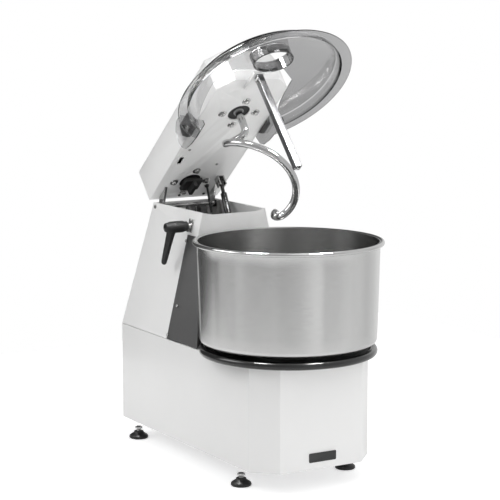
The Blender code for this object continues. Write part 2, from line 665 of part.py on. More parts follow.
# ------------------------------------------------------------------ motor and clutch
def make_motor():
    """Sealed geared motor: motor, gear housing, drive sprocket and clutch shaft."""
    spot = (MOTOR_X, CLUTCH_Y + 0.010)
    floor = BODY_UNDER + BASE_PLATE + GAP
    neck = GEARBOX_FLOOR - GAP
    bm = bmesh.new()
    turned(bm, [(0, floor), (0.050, floor), (0.050, floor + 0.012), (MOTOR_RADIUS, floor + 0.016),
                (MOTOR_RADIUS, neck - 0.032), (0.042, neck - 0.024), (0.042, neck), (0, neck)],
           spot, MEDIUM)
    finish("motor", bm, CASTING)

    bm = bmesh.new()
    box(bm, (CLUTCH_X - 0.051, CLUTCH_Y - 0.055, GEARBOX_FLOOR),
        (MOTOR_X + 0.050, CLUTCH_Y + 0.070, GEARBOX_FLOOR + GEARBOX_HEIGHT))
    gearbox = finish("gearbox", bm, CASTING)
    soften(gearbox, 0.006, 1)
    bores = bmesh.new()
    depth = 0.030
    centre = (CLUTCH_X, CLUTCH_Y)
    for low, high in ((GEARBOX_FLOOR - 0.01, GEARBOX_FLOOR + depth),
                      (GEARBOX_FLOOR + GEARBOX_HEIGHT - depth, GEARBOX_FLOOR + GEARBOX_HEIGHT + 0.01)):
        rod(bores, CLUTCH_SHAFT_RADIUS + RUN_GAP, (*centre, low), (*centre, high))
    cut(gearbox, bores)

    bm = bmesh.new()
    turned(bm, [(0, CHAIN_Z - 0.010), (CLUTCH_SHAFT_RADIUS, CHAIN_Z - 0.010),
                (CLUTCH_SHAFT_RADIUS, GEARBOX_FLOOR + depth - 0.001),
                (0, GEARBOX_FLOOR + depth - 0.001)], centre, MEDIUM)
    pinion = finish("drive_sprocket", bm, STEEL, "drive_axis")
    wheel = bmesh.new()
    sprocket(wheel, centre, DRIVE_TEETH, CHAIN_Z, CLUTCH_SHAFT_RADIUS - GAP)
    join(pinion, wheel, "drive_axis")
    make_chain("bowl_chain", (0, 0), BOWL_TEETH, centre, DRIVE_TEETH, CHAIN_Z)

    bm = bmesh.new()
    low = GEARBOX_FLOOR + GEARBOX_HEIGHT - depth + 0.001
    turned(bm, [(0, low), (CLUTCH_SHAFT_RADIUS, low), (CLUTCH_SHAFT_RADIUS, JAW_DISC_Z - 0.0085),
                (0, JAW_DISC_Z - 0.0085)], centre, MEDIUM)
    finish("clutch_shaft", bm, STEEL, "clutch_axis")
    make_lower_clutch(centre)

    bm = bmesh.new()
    left = column_half(BEARING_PLATE_Z + 0.014, TAPER_SHEET + GAP)
    box(bm, (-left, CLUTCH_Y - 0.030, BEARING_PLATE_Z), (0.035, CLUTCH_Y + 0.045, BEARING_PLATE_Z + 0.014))
    plate = finish("clutch_bearing_plate", bm, STEEL)
    hole = bmesh.new()
    rod(hole, CLUTCH_SHAFT_RADIUS + RUN_GAP, (*centre, BEARING_PLATE_Z - 0.01),
        (*centre, BEARING_PLATE_Z + 0.02))
    cut(plate, hole)


def make_lower_clutch(centre):
    """Clutch disc with two roof-topped jaws that stand up in the column's mouth."""
    bm = bmesh.new()
    turned(bm, [(0, JAW_DISC_Z - 0.008), (0.036, JAW_DISC_Z - 0.008), (0.036, JAW_DISC_Z),
                (0, JAW_DISC_Z)], centre, MEDIUM)
    clutch = finish("lower_clutch", bm, BLACK, "clutch_axis")
    jaws = bmesh.new()
    x, y = centre
    for side in (-1, 1):
        near, far = x + side * JAW_SPLIT, x + side * (JAW_SPLIT + 0.022)
        shoulder = JAW_DISC_Z + JAW_HEIGHT * 0.55
        roof = [(y - 0.014, JAW_DISC_Z - 0.004), (y + 0.014, JAW_DISC_Z - 0.004),
                (y + 0.014, shoulder), (y, JAW_DISC_Z + JAW_HEIGHT), (y - 0.014, shoulder)]
        prism(jaws, roof, min(near, far), max(near, far), "X")
    join(clutch, jaws, "clutch_axis")


def join(piece, bm, parent="machine"):
    """Weld a bmesh drawn in machine coordinates onto a piece."""
    extra = finish(piece.name + "_addition", bm, piece.data.materials[0], parent)
    extra.hide_render = True
    extra.display_type = "WIRE"
    boolean = piece.modifiers.new("Weld", "BOOLEAN")
    boolean.operation = "UNION"
    boolean.solver = "EXACT"
    boolean.object = extra


# ------------------------------------------------------------------ column fittings
def make_hinge():
    """Hinge pin, the tapered blocks that hold it and the eyes under the head."""
    bm = bmesh.new()
    end = column_half(HINGE_Z) + 0.0025
    rod(bm, HINGE_PIN_RADIUS, (-end, HINGE_Y, HINGE_Z), (end, HINGE_Y, HINGE_Z))
    finish("hinge_pin", bm, STEEL)

    low, high = HINGE_Z - 0.070, HINGE_Z + 0.0095
    front, rear = HINGE_Y - 0.020, HINGE_Y + 0.0125
    inner = column_half(HINGE_Z, TAPER_SHEET + GAP) - 0.0125
    top = HEAD_UNDER - GAP
    eye = [(HEAD_REAR - 0.0639, top), *arc((HINGE_Y, HINGE_Z), HINGE_EYE_RADIUS, 190, 405, 12),
           (HEAD_REAR - 0.0139, top)]
    for side, where in ((-1, "left"), (1, "right")):
        outline = [(side * inner, low), (side * inner, high),
                   (side * column_half(high, TAPER_SHEET + GAP), high),
                   (side * column_half(low, TAPER_SHEET + GAP), low)]
        bm = bmesh.new()
        prism(bm, outline, front, rear, "Y")
        cut(finish("hinge_block_" + where, bm, STEEL), hinge_bore())
        edge = (side * (inner - 0.0105), side * (inner - 0.0025))
        bm = bmesh.new()
        prism(bm, eye, min(edge), max(edge), "X")
        cut(finish("hinge_eye_" + where, bm, STEEL, "head_axis"), hinge_bore(), "head_axis")


def hinge_bore():
    """Cutter for the hinge pin."""
    bore = bmesh.new()
    rod(bore, HINGE_PIN_RADIUS + GAP, (-0.2, HINGE_Y, HINGE_Z), (0.2, HINGE_Y, HINGE_Z))
    return bore


def make_lever():
    """Lock lever on the left side, its flange, and its shaft with the latch claw."""
    skin = column_half(LEVER_Z)
    outline = [(LEVER_Y - 0.013, -0.019), (LEVER_Y + 0.013, -0.019), (LEVER_Y + 0.013, 0.019),
               (LEVER_Y - 0.013, 0.019)]
    corners = [taper_point(-1, y, LEVER_Z + z, -GAP * 1.1) for y, z in outline]
    flange = sheet("lever_flange", [corners[::-1]], 0.003, STEEL)
    flange.modifiers["Thickness"].offset = 1
    hole = bmesh.new()
    lever_hole(hole)
    cut(flange, hole)

    hub_near, hub_far = skin + 0.0135, skin + 0.0135 + LEVER_HUB
    bm = bmesh.new()
    rod(bm, LEVER_SHAFT_RADIUS, (-hub_near - 0.025, LEVER_Y, LEVER_Z), (-CLAW_X + 0.008, LEVER_Y, LEVER_Z))
    shaft = finish("lever_shaft", bm, STEEL, "lever_axis")
    centre = (LEVER_Y, LEVER_Z)
    hook = [*arc(centre, CLAW_REACH + CLAW_HALF, -36, 30, 8),
            *arc(centre, CLAW_REACH - CLAW_HALF, 30, -22, 7), *arc(centre, 0.0125, 5, 295, 8)]
    claw = bmesh.new()
    prism(claw, hook, -CLAW_X - 0.004, -CLAW_X + 0.004, "X")
    join(shaft, claw, "lever_axis")

    bm = bmesh.new()
    bulge = LEVER_HUB_RADIUS
    profile = [(LEVER_SHAFT_RADIUS + GAP, 0), (bulge * 0.8, 0), (bulge, 0.012), (bulge, 0.058),
               (bulge * 0.8, LEVER_HUB), (0, LEVER_HUB), (0, 0.026), (LEVER_SHAFT_RADIUS + GAP, 0.026)]
    hub = bmesh.new()
    turned(hub, profile, sides=MEDIUM)
    bmesh.ops.transform(hub, verts=hub.verts, matrix=Matrix.Translation((-hub_near, LEVER_Y, LEVER_Z))
                        @ Matrix.Rotation(-pi / 2, 4, "Y"))
    merge(bm, hub)
    lever = finish("lock_lever", bm, BLACK, "lever_axis")
    handle = bmesh.new()
    grip_x = -(hub_far - 0.022)
    start = Vector((grip_x, LEVER_Y, LEVER_Z))
    along = Vector((0, sin(LEVER_LEAN), -cos(LEVER_LEAN)))
    rod(handle, 0.0135, start + along * 0.010, start + along * (LEVER_LENGTH - 0.012), MEDIUM, 0.0085)
    tip = bmesh.new()
    bmesh.ops.create_uvsphere(tip, u_segments=MEDIUM, v_segments=10, radius=0.0095,
                              matrix=Matrix.Translation(start + along * (LEVER_LENGTH - 0.0125)))
    join(lever, handle, "lever_axis")
    join(lever, tip, "lever_axis")


def make_controls():
    """Electrical box, control panel with two buttons and a timer knob, and the cable gland."""
    width, height = 0.075, 0.120
    out = Vector((cos(atan(COLUMN_TAPER)), 0, sin(atan(COLUMN_TAPER))))
    corners = [taper_point(1, PANEL_Y + y, PANEL_Z + z, -GAP * 1.1)
               for y, z in ((-width / 2, -height / 2), (-width / 2, height / 2),
                            (width / 2, height / 2), (width / 2, -height / 2))]
    panel = sheet("control_panel", [corners[::-1]], 0.0025, GREY)
    panel.modifiers["Thickness"].offset = 1
    hole = bmesh.new()
    control_holes(hole)
    cut(panel, hole)

    bm = bmesh.new()
    top = PANEL_Z + height / 2
    face = column_half(top, TAPER_SHEET + 0.022)
    box(bm, (0.040, PANEL_Y - 0.055, PANEL_Z - height / 2), (face, PANEL_Y + 0.035, top - 0.008))
    case = finish("electrical_box", bm, GREY)
    switch = bmesh.new()
    box(switch, (SWITCH_ROD_X - 0.011, SWITCH_FOOT_Y - 0.012, top - 0.010),
        (SWITCH_ROD_X + 0.011, SWITCH_FOOT_Y + 0.012, SWITCH_FOOT_Z - 0.002))
    join(case, switch)

    for name, rise, radius, length, material in CONTROLS:
        centre = Vector(taper_point(1, PANEL_Y, PANEL_Z + rise))
        bm = bmesh.new()
        rod(bm, CONTROL_STEM, centre - out * 0.008, centre + out * (CONTROL_STAND + length * 0.4))
        knob = finish(name, bm, material, name + "_axis")
        cap = bmesh.new()
        base = centre + out * CONTROL_STAND
        rod(cap, radius, base, base + out * length, MEDIUM, radius * 0.92)
        join(knob, cap, name + "_axis")

    bm = bmesh.new()
    spot = Vector((GLAND_X, BODY_REAR, GLAND_Z))
    rod(bm, GLAND_RADIUS, spot - Vector((0, 0.012, 0)), spot + Vector((0, 0.004, 0)))
    gland = finish("cable_gland", bm, BLACK)
    collar, nose = bmesh.new(), bmesh.new()
    rod(collar, 0.0135, spot + Vector((0, GAP, 0)), spot + Vector((0, 0.008, 0)), 6)
    rod(nose, 0.011, spot + Vector((0, 0.007, 0)), spot + Vector((0, GLAND_LENGTH, 0)), MEDIUM, 0.007)
    join(gland, collar)
    join(gland, nose)


def control_holes(bm):
    """Cutter for the button and knob stems, along the right side's normal."""
    out = Vector((cos(atan(COLUMN_TAPER)), 0, sin(atan(COLUMN_TAPER))))
    for _, rise, *_ in CONTROLS:
        centre = Vector(taper_point(1, PANEL_Y, PANEL_Z + rise))
        rod(bm, CONTROL_STEM + RUN_GAP, centre - out * 0.02, centre + out * 0.02)


# ------------------------------------------------------------------ head
def head_outline(inward=0.0):
    """Plan outline of the closed head."""
    outline = nose_outline(HEAD_HALF, HEAD_NOSE_Y, HEAD_REAR, *HEAD_NOSE_CHAMFER)
    return inset(outline, inward) if inward else outline


def make_head():
    """Head cover, the plate that closes it from below, bearing housings and bolts."""
    top = HEAD_UNDER + HEAD_HEIGHT
    bm = bmesh.new()
    outline = head_outline()
    face = bm.faces.new([bm.verts.new((x, y, HEAD_UNDER)) for x, y in outline])
    grown = bmesh.ops.extrude_face_region(bm, geom=[face])
    lifted = [item for item in grown["geom"] if isinstance(item, bmesh.types.BMVert)]
    bmesh.ops.translate(bm, verts=lifted, vec=(0, 0, HEAD_HEIGHT))
    bmesh.ops.recalc_face_normals(bm, faces=bm.faces)
    under = [f for f in bm.faces if f.calc_center_median().z < HEAD_UNDER + 1e-5]
    bmesh.ops.delete(bm, geom=under, context="FACES_ONLY")
    edges = [e for e in bm.edges if all(v.co.z > top - 1e-5 for v in e.verts)]
    bmesh.ops.bevel(bm, geom=edges, offset=HEAD_EDGE, segments=2, profile=0.5, affect="EDGES")
    cover = finish("head_cover", bm, WHITE, "head_axis")
    solid = cover.modifiers.new("Thickness", "SOLIDIFY")
    solid.thickness, solid.offset = SHEET, -1
    solid.use_even_offset = True
    bore = bmesh.new()
    rod(bore, PIVOT_SCREW + GAP, (-0.2, PIVOT_Y, STUD_Z), (0.2, PIVOT_Y, STUD_Z), SMALL)
    cut(cover, bore, "head_axis")

    bm = bmesh.new()
    prism(bm, head_outline(SHEET + GAP), HEAD_UNDER, HEAD_UNDER + HEAD_PLATE)
    plate = finish("head_plate", bm, WHITE, "head_axis")
    holes = bmesh.new()
    low, high = HEAD_UNDER - 0.01, HEAD_UNDER + 0.01
    for x, y in HUBS:
        rod(holes, HUB_HOLE_RADIUS, (x, y, low), (x, y, high))
        for spot in hub_bolts(x, y):
            rod(holes, HUB_BOLT + GAP, (*spot, low), (*spot, high), SMALL)
    rod(holes, 0.008, (SWITCH_ROD_X, SWITCH_TOP_Y, low), (SWITCH_ROD_X, SWITCH_TOP_Y, high), SMALL)
    box(holes, (-CLAW_X - 0.007, CLAW_SLOT_Y - 0.017, low), (-CLAW_X + 0.007, CLAW_SLOT_Y + 0.017, high))
    cut(plate, holes, "head_axis")

    seat = HEAD_UNDER + HEAD_PLATE + GAP
    for name, (x, y) in zip(("clutch_housing", "spiral_housing"), HUBS):
        bm = bmesh.new()
        turned(bm, [(HUB_SHAFT + RUN_GAP, seat), (HUB_FLANGE, seat), (HUB_FLANGE, seat + 0.008),
                    (0.038, seat + 0.012), (0.038, seat + 0.040), (HUB_SHAFT + RUN_GAP, seat + 0.040)],
               (x, y), MEDIUM)
        finish(name, bm, CASTING, "head_axis")
    make_chain("head_chain", HUBS[1], SPIRAL_TEETH, HUBS[0], HEAD_TEETH, HEAD_CHAIN_Z, "head_axis")


def hub_bolts(x, y):
    """Four bolt places round a hub, ahead, behind and at its sides."""
    return [(x + HUB_BOLT_CIRCLE * cos(k * pi / 2), y + HUB_BOLT_CIRCLE * sin(k * pi / 2))
            for k in range(4)]


def make_head_clutch():
    """Upper half of the clutch on its shaft, and the small chain wheel."""
    x, y = HUBS[0]
    bm = bmesh.new()
    low = HEAD_UNDER - 0.0125
    turned(bm, [(0, low), (0.022, low), (0.022, HEAD_UNDER + 0.002), (HUB_SHAFT, HEAD_UNDER + 0.002),
                (HUB_SHAFT, HEAD_CHAIN_Z + 0.006), (0, HEAD_CHAIN_Z + 0.006)], (x, y), MEDIUM)
    clutch = finish("upper_clutch", bm, BLACK, "head_clutch_axis")
    block = bmesh.new()
    box(block, (x - 0.029, y - 0.024, low - 0.003), (x + 0.029, y + 0.024, low + 0.007))
    join(clutch, block, "head_clutch_axis")
    tongue = bmesh.new()
    box(tongue, (x - JAW_SPLIT + 0.002, y - 0.024, JAW_DISC_Z + 0.0095),
        (x + JAW_SPLIT - 0.002, y + 0.024, low + 0.002))
    join(clutch, tongue, "head_clutch_axis")
    wheel = bmesh.new()
    sprocket(wheel, (x, y), HEAD_TEETH, HEAD_CHAIN_Z, HUB_SHAFT - 0.002)
    join(clutch, wheel, "head_clutch_axis")


def spiral_route():
    """Centre line of the spiral, from its shaft down round the axis to the hooked tip."""
    x, y = HUBS[1]
    points = [Vector((x, y, HEAD_UNDER + 0.006)), Vector((x, y, HEAD_UNDER - SPIRAL_NECK * 0.6))]
    steps = 34
    for k in range(steps + 1):
        share = k / steps
        angle = SPIRAL_START + SPIRAL_TURN * share
        swell = min(1.0, share / 0.14)
        radius = SPIRAL_RADIUS * (swell * (2 - swell)) ** 0.9
        sunk = 0.25 * share + 0.375 * (1 - cos(pi * share))
        drop = SPIRAL_NECK + (SPIRAL_DEPTH - SPIRAL_NECK) * sunk
        points.append(Vector((x + radius * cos(angle), y + radius * sin(angle), HEAD_UNDER - drop)))
    hook = SPIRAL_RADIUS * SPIRAL_HOOK
    inward = SPIRAL_RADIUS - hook
    for k in range(1, 6):
        turn = angle + radians(150) * k / 5
        points.append(Vector((x + inward * cos(angle) + hook * cos(turn),
                              y + inward * sin(angle) + hook * sin(turn), HEAD_UNDER - SPIRAL_DEPTH)))
    return points


def make_spiral():
    """Round-bar spiral welded to its shaft, and the large chain wheel."""
    x, y = HUBS[1]
    curve = bpy.data.curves.new("spiral_rod", "CURVE")
    curve.dimensions = "3D"
    spline = curve.splines.new("POLY")
    route = smooth_route(spiral_route(), 46)
    spline.points.add(len(route) - 1)
    for point, place in zip(spline.points, route):
        point.co = (*(place - FRAMES["spiral_axis"]), 1)
    curve.bevel_depth = SPIRAL_ROD_RADIUS
    curve.bevel_resolution = 3
    curve.use_fill_caps = True
    helper = bpy.data.objects.new("spiral_rod", curve)
    bar = bpy.data.objects.new("spiral", bpy.data.meshes.new_from_object(helper))
    bpy.data.objects.remove(helper)
    bar.data.materials.append(POLISHED)
    bpy.context.scene.collection.objects.link(bar)
    bar.parent = bpy.data.objects["spiral_axis"]
    shaft = bmesh.new()
    low = HEAD_UNDER + 0.0045
    turned(shaft, [(0, low), (HUB_SHAFT, low), (HUB_SHAFT, HEAD_CHAIN_Z + 0.006),
                   (0, HEAD_CHAIN_Z + 0.006)], (x, y), MEDIUM)
    join(bar, shaft, "spiral_axis")
    bm = bmesh.new()
    sprocket(bm, (x, y), SPIRAL_TEETH, HEAD_CHAIN_Z, HUB_SHAFT + GAP)
    finish("spiral_sprocket", bm, STEEL, "spiral_axis")


def smooth_route(points, count):
    """Even points on a smooth curve through a few given ones."""
    fine = []
    for i in range(len(points) - 1):
        a, b = points[max(i - 1, 0)], points[i]
        c, d = points[i + 1], points[min(i + 2, len(points) - 1)]
        for k in range(8):
            t = k / 8
            fine.append(0.5 * (2 * b + (c - a) * t + (2 * a - 5 * b + 4 * c - d) * t ** 2
                               + (3 * b - a - 3 * c + d) * t ** 3))
    fine.append(points[-1])
    lengths = [0.0]
    for a, b in zip(fine, fine[1:]):
        lengths.append(lengths[-1] + (b - a).length)
    even = []
    index = 0
    for k in range(count):
        target = lengths[-1] * k / (count - 1)
        while index < len(fine) - 2 and lengths[index + 1] < target:
            index += 1
        span = lengths[index + 1] - lengths[index]
        share = (target - lengths[index]) / span if span else 0.0
        even.append(fine[index].lerp(fine[index + 1], min(share, 1.0)))
    return even


def make_breaker_bar():
    """Square dough-breaker bar and the arm that holds it under the nose."""
    half = BAR_SIDE / 2
    arm_top = HEAD_UNDER - GAP
    arm_low = arm_top - BAR_ARM
    bm = bmesh.new()
    box(bm, (BAR_X - half, BAR_Y - half, HEAD_UNDER - BAR_DEPTH), (BAR_X + half, BAR_Y + half, arm_low - GAP))
    bar = finish("breaker_bar", bm, STEEL, "head_axis")
    soften(bar, 0.0012, 1)
    bm = bmesh.new()
    box(bm, (BAR_X - 0.018, BAR_Y - half - 0.002, arm_low), (BAR_X + 0.018, HEAD_NOSE_Y + 0.036, arm_top))
    arm = finish("bar_arm", bm, STEEL, "head_axis")
    soften(arm, 0.001, 1)


# ------------------------------------------------------------------ lid
def make_lid():
    """Smoked lid: flange, shallow dome with a cut-out for the nose, ears and feed collar."""
    inner = LID_RADIUS - LID_FLANGE
    top, thick = LID_TOP, LID_THICK
    rise = [(1.0, 0.0), (0.975, 0.22), (0.893, 0.48), (0.768, 0.72), (0.598, 0.88), (0.40, 0.965),
            (0.20, 0.995)]
    outer = [(inner * r, top + LID_DOME * h) for r, h in rise] + [(0, top + LID_DOME)]
    inside = [(max(r - thick * 0.8, 0) if i < 2 else r, z - thick) for i, (r, z) in enumerate(outer)]
    profile = [(LID_RADIUS, top), *outer, *reversed(inside), (LID_RADIUS, top - thick)]
    bm = bmesh.new()
    turned(bm, profile, (0, LID_CENTRE_Y))
    lid = finish("lid", bm, SMOKED, "lid_axis")

    cutter = bmesh.new()
    side = EAR_X - GAP * 5
    front = HEAD_NOSE_Y - 0.026
    chamfer = HEAD_NOSE_CHAMFER[0] + 0.006, HEAD_NOSE_CHAMFER[1] + 0.008
    prism(cutter, nose_outline(side, front, 0.6, *chamfer), top - 0.05, top + 0.2)
    cut(lid, cutter, "lid_axis")

    ears = bmesh.new()
    outline = ear_outline()
    for sign in (-1, 1):
        edge = (sign * (EAR_X - GAP * 5), sign * (EAR_X - GAP * 5 + thick))
        prism(ears, outline, min(edge), max(edge), "X")
    join(lid, ears, "lid_axis")

    bore = bmesh.new()
    rod(bore, PIVOT_SCREW + RUN_GAP, (-0.2, PIVOT_Y, STUD_Z), (0.2, PIVOT_Y, STUD_Z), SMALL)
    cut(lid, bore, "lid_axis")
    opening = bmesh.new()
    centre_y = LID_CENTRE_Y - FEED_FORWARD
    prism(opening, oval(centre_y, FEED_COLLAR + GAP), top - 0.05, top + 0.15)
    cut(lid, opening, "lid_axis")

    bm = bmesh.new()
    band(bm, oval(centre_y, 0), oval(centre_y, FEED_COLLAR), HEAD_UNDER - 0.016, HEAD_UNDER + 0.020)
    finish("feed_collar", bm, BLACK, "lid_axis")


def oval(centre_y, grow, steps=28):
    """Oval outline of the feed opening."""
    return [((FEED_HALF[0] + grow) * cos(2 * pi * k / steps),
             centre_y + (FEED_HALF[1] + grow) * sin(2 * pi * k / steps)) for k in range(steps)]


def ear_outline():
    """Side outline (y, z) of the lid's ears: a rounded lozenge round the pivot."""
    y, z = PIVOT_Y, PIVOT_Z
    return [(y - 0.085, LID_TOP - LID_THICK), (y - 0.030, LID_TOP - LID_THICK), (y + 0.012, z - 0.039),
            (y + 0.046, z - 0.030), (y + 0.060, z - 0.016), (y + 0.066, z + 0.008),
            (y + 0.063, z + 0.040), (y + 0.040, z + 0.062), (y + 0.005, z + 0.060),
            (y - 0.030, z + 0.026), (y - 0.060, z - 0.006), (y - 0.085, z - 0.028)]


def make_lid_hinges():
    """Hinge plates on the head's sides and the screws that the lid turns on."""
    y, z = PIVOT_Y, STUD_Z
    near, far = HEAD_HALF + GAP, EAR_X - GAP * 5 - RUN_GAP
    outline = [(y - 0.026, z - 0.018), (y + 0.020, z - 0.018), (y + 0.040, z + 0.002),
               (y + 0.034, z + 0.034), (y - 0.022, z + 0.038), (y - 0.034, z + 0.010)]
    for side, where in ((-1, "left"), (1, "right")):
        bm = bmesh.new()
        prism(bm, outline, min(side * near, side * far), max(side * near, side * far), "X")
        plate = finish("lid_hinge_" + where, bm, GREY, "head_axis")
        stud = bmesh.new()
        rod(stud, PIVOT_SCREW, (side * (HEAD_HALF - SHEET), y, z), (side * (far + LID_THICK + 0.0015), y, z),
            SMALL)
        join(plate, stud, "head_axis")


# ------------------------------------------------------------------ gas spring and switch rod
def spring_points():
    """Open and closed places of the gas spring's upper pivot, with the foot's place."""
    away = Vector((SPRING_PIVOT[0] - HINGE_Y, SPRING_PIVOT[1] - HINGE_Z))
    swing = Matrix.Rotation(-HEAD_OPEN, 2)
    opened = Vector((HINGE_Y, HINGE_Z)) + swing @ away
    return Vector(SPRING_PIVOT), opened, Vector(SPRING_ANCHOR)


def make_gas_spring():
    """Gas spring tube and rod, with the forked brackets at its two ends."""
    closed, _, anchor = spring_points()
    along = (closed - anchor).normalized()
    x = SPRING_X
    reach = (closed - anchor).length

    def on_axis(distance):
        spot = anchor + along * distance
        return Vector((x, spot.x, spot.y))

    tube = bmesh.new()
    length = SPRING_TUBE_LENGTH
    profile = [(SPRING_ROD_RADIUS + RUN_GAP, 0), (SPRING_TUBE_RADIUS, 0), (SPRING_TUBE_RADIUS, length),
               (0.0055, length + 0.004), (0.0055, length + 0.026), (0, length + 0.026), (0, length - 0.004),
               (SPRING_TUBE_RADIUS - 0.002, length - 0.004), (SPRING_TUBE_RADIUS - 0.002, 0.010),
               (SPRING_ROD_RADIUS + RUN_GAP, 0.010)]
    turned(tube, profile, sides=16)
    start = reach - length - 0.034
    lean = Vector((0, along.x, along.y)).to_track_quat("Z", "X").to_matrix().to_4x4()
    bmesh.ops.transform(tube, verts=tube.verts, matrix=Matrix.Translation(on_axis(start)) @ lean)
    piece = finish("gas_tube", tube, BLACK, "gas_tube_axis")
    eye_joint(piece, closed, x, "gas_tube_axis")

    bar = bmesh.new()
    rod(bar, SPRING_ROD_RADIUS, on_axis(0.006), on_axis(start + length - 0.012), SMALL)
    piece = finish("gas_rod", bar, POLISHED, "gas_rod_axis")
    join(piece, cross_rod(0.0095, anchor, x, 0.005), "gas_rod_axis")
    join(piece, cross_rod(SPRING_PIN, anchor, x, 0.0070), "gas_rod_axis")

    bracket = fork("spring_bracket_head", closed, x, (0, HEAD_UNDER - GAP), "head_axis")
    join(bracket, cross_rod(SPRING_PIN, closed, x, 0.009), "head_axis")
    fork("spring_bracket_column", anchor, x, (COLUMN_FRONT + SHEET + GAP, 0), "machine")


def cross_rod(radius, centre, x, half):
    """Round rod along X through a spring pivot, half its length to each side."""
    bm = bmesh.new()
    rod(bm, radius, (x - half, centre.x, centre.y), (x + half, centre.x, centre.y), 16)
    return bm


def eye_joint(piece, centre, x, parent):
    """Weld a ring onto the end of a spring member and bore it for its pin."""
    join(piece, cross_rod(0.0095, centre, x, 0.005), parent)
    cut(piece, cross_rod(SPRING_PIN + SPRING_PIN_GAP, centre, x, 0.02), parent)


def fork(name, centre, x, seat, parent):
    """Bracket with two cheeks and a web; seat is its wall (y) or its ceiling (z)."""
    seat_y, seat_z = seat
    reach, web = 0.011, 0.003
    if seat_z:
        low, high = (centre.x - reach, centre.y - reach), (centre.x + reach, seat_z)
        back = ((x - 0.0115, low[0], seat_z - web), (x + 0.0115, high[0], seat_z))
    else:
        low, high = (seat_y, centre.y - reach), (centre.x + reach, centre.y + reach)
        back = ((x - 0.0115, seat_y, low[1]), (x + 0.0115, seat_y + web, high[1]))
    bm = bmesh.new()
    box(bm, *back)
    bracket = finish(name, bm, STEEL, parent)
    for side in (-1, 1):
        near, far = sorted((x + side * 0.0075, x + side * 0.0115))
        cheek = bmesh.new()
        box(cheek, (near, low[0], low[1]), (far, high[0], high[1]))
        join(bracket, cheek, parent)
    return bracket


def make_switch_rod():
    """Rod of the head's safety switch: it hangs from a grommet and meets the switch when closed."""
    x = SWITCH_ROD_X
    top = Vector((x, SWITCH_TOP_Y, HEAD_UNDER + 0.002))
    along = Vector((0, -sin(SWITCH_ROD_LEAN), -cos(SWITCH_ROD_LEAN)))
    bm = bmesh.new()
    rod(bm, 0.0035, top, top + along * SWITCH_ROD_LENGTH, SMALL)
    finish("switch_rod", bm, BLACK, "switch_rod_axis")


# ------------------------------------------------------------------ assembly
def make_frames():
    """Empties on the joint axes; the head's own empty carries its stored opening."""
    frame("machine", (0, 0, 0)).location.y = -MIDDLE_Y
    frame("turntable_axis", (0, 0, 0), "machine")
    frame("bowl_axis", (0, 0, BOWL_UNDER), "machine")
    frame("drive_axis", (CLUTCH_X, CLUTCH_Y, 0), "machine")
    frame("clutch_axis", (CLUTCH_X, CLUTCH_Y, 0), "machine")
    frame("lever_axis", (-column_half(LEVER_Z), LEVER_Y, LEVER_Z), "machine")
    for name, rise, *_ in CONTROLS:
        frame(name + "_axis", taper_point(1, PANEL_Y, PANEL_Z + rise), "machine")
    frame("head_axis", (0, HINGE_Y, HINGE_Z), "machine", -HEAD_OPEN)
    frame("spiral_axis", (*HUBS[1], HEAD_UNDER), "head_axis")
    frame("head_clutch_axis", (*HUBS[0], HEAD_UNDER), "head_axis")
    frame("lid_axis", (0, PIVOT_Y, STUD_Z), "head_axis")
    closed, opened, anchor = spring_points()
    lean = [atan2(end.y - anchor.y, end.x - anchor.x) for end in (closed, opened)]
    frame("gas_tube_axis", (SPRING_X, *closed), "head_axis", HEAD_OPEN + lean[1] - lean[0])
    along = (closed - anchor).normalized()
    stroke = (opened - anchor).length - (closed - anchor).length
    slider = frame("gas_rod_axis", (SPRING_X, *anchor), "gas_tube_axis")
    slider.location -= Vector((0, along.x, along.y)) * stroke
    frame("switch_rod_axis", (SWITCH_ROD_X, SWITCH_TOP_Y, HEAD_UNDER), "head_axis", HEAD_OPEN)


def main():
    """Clear the scene and build the machine."""
    for old in list(bpy.data.objects):
        bpy.data.objects.remove(old, do_unlink=True)
    make_frames()
    make_base()
    make_column()
    make_fairings()
    make_feet()
    make_turntable()
    make_bowl()
    make_turntable_housing()
    make_motor()
    make_hinge()
    make_lever()
    make_controls()
    make_head()
    make_head_clutch()
    make_spiral()
    make_breaker_bar()
    make_lid()
    make_lid_hinges()
    make_gas_spring()
    make_switch_rod()


main()
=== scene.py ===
"""Finished looks of a spiral dough mixer with a tilting head.

The packed frame gives every place and size. This file adds the painted sheet metal, the brushed
bowl, the smoked lid, the polished spiral and the small fittings, with their finishes, and sets
the machine on a pale studio floor. Sizes are metres; the front looks along -Y.
"""

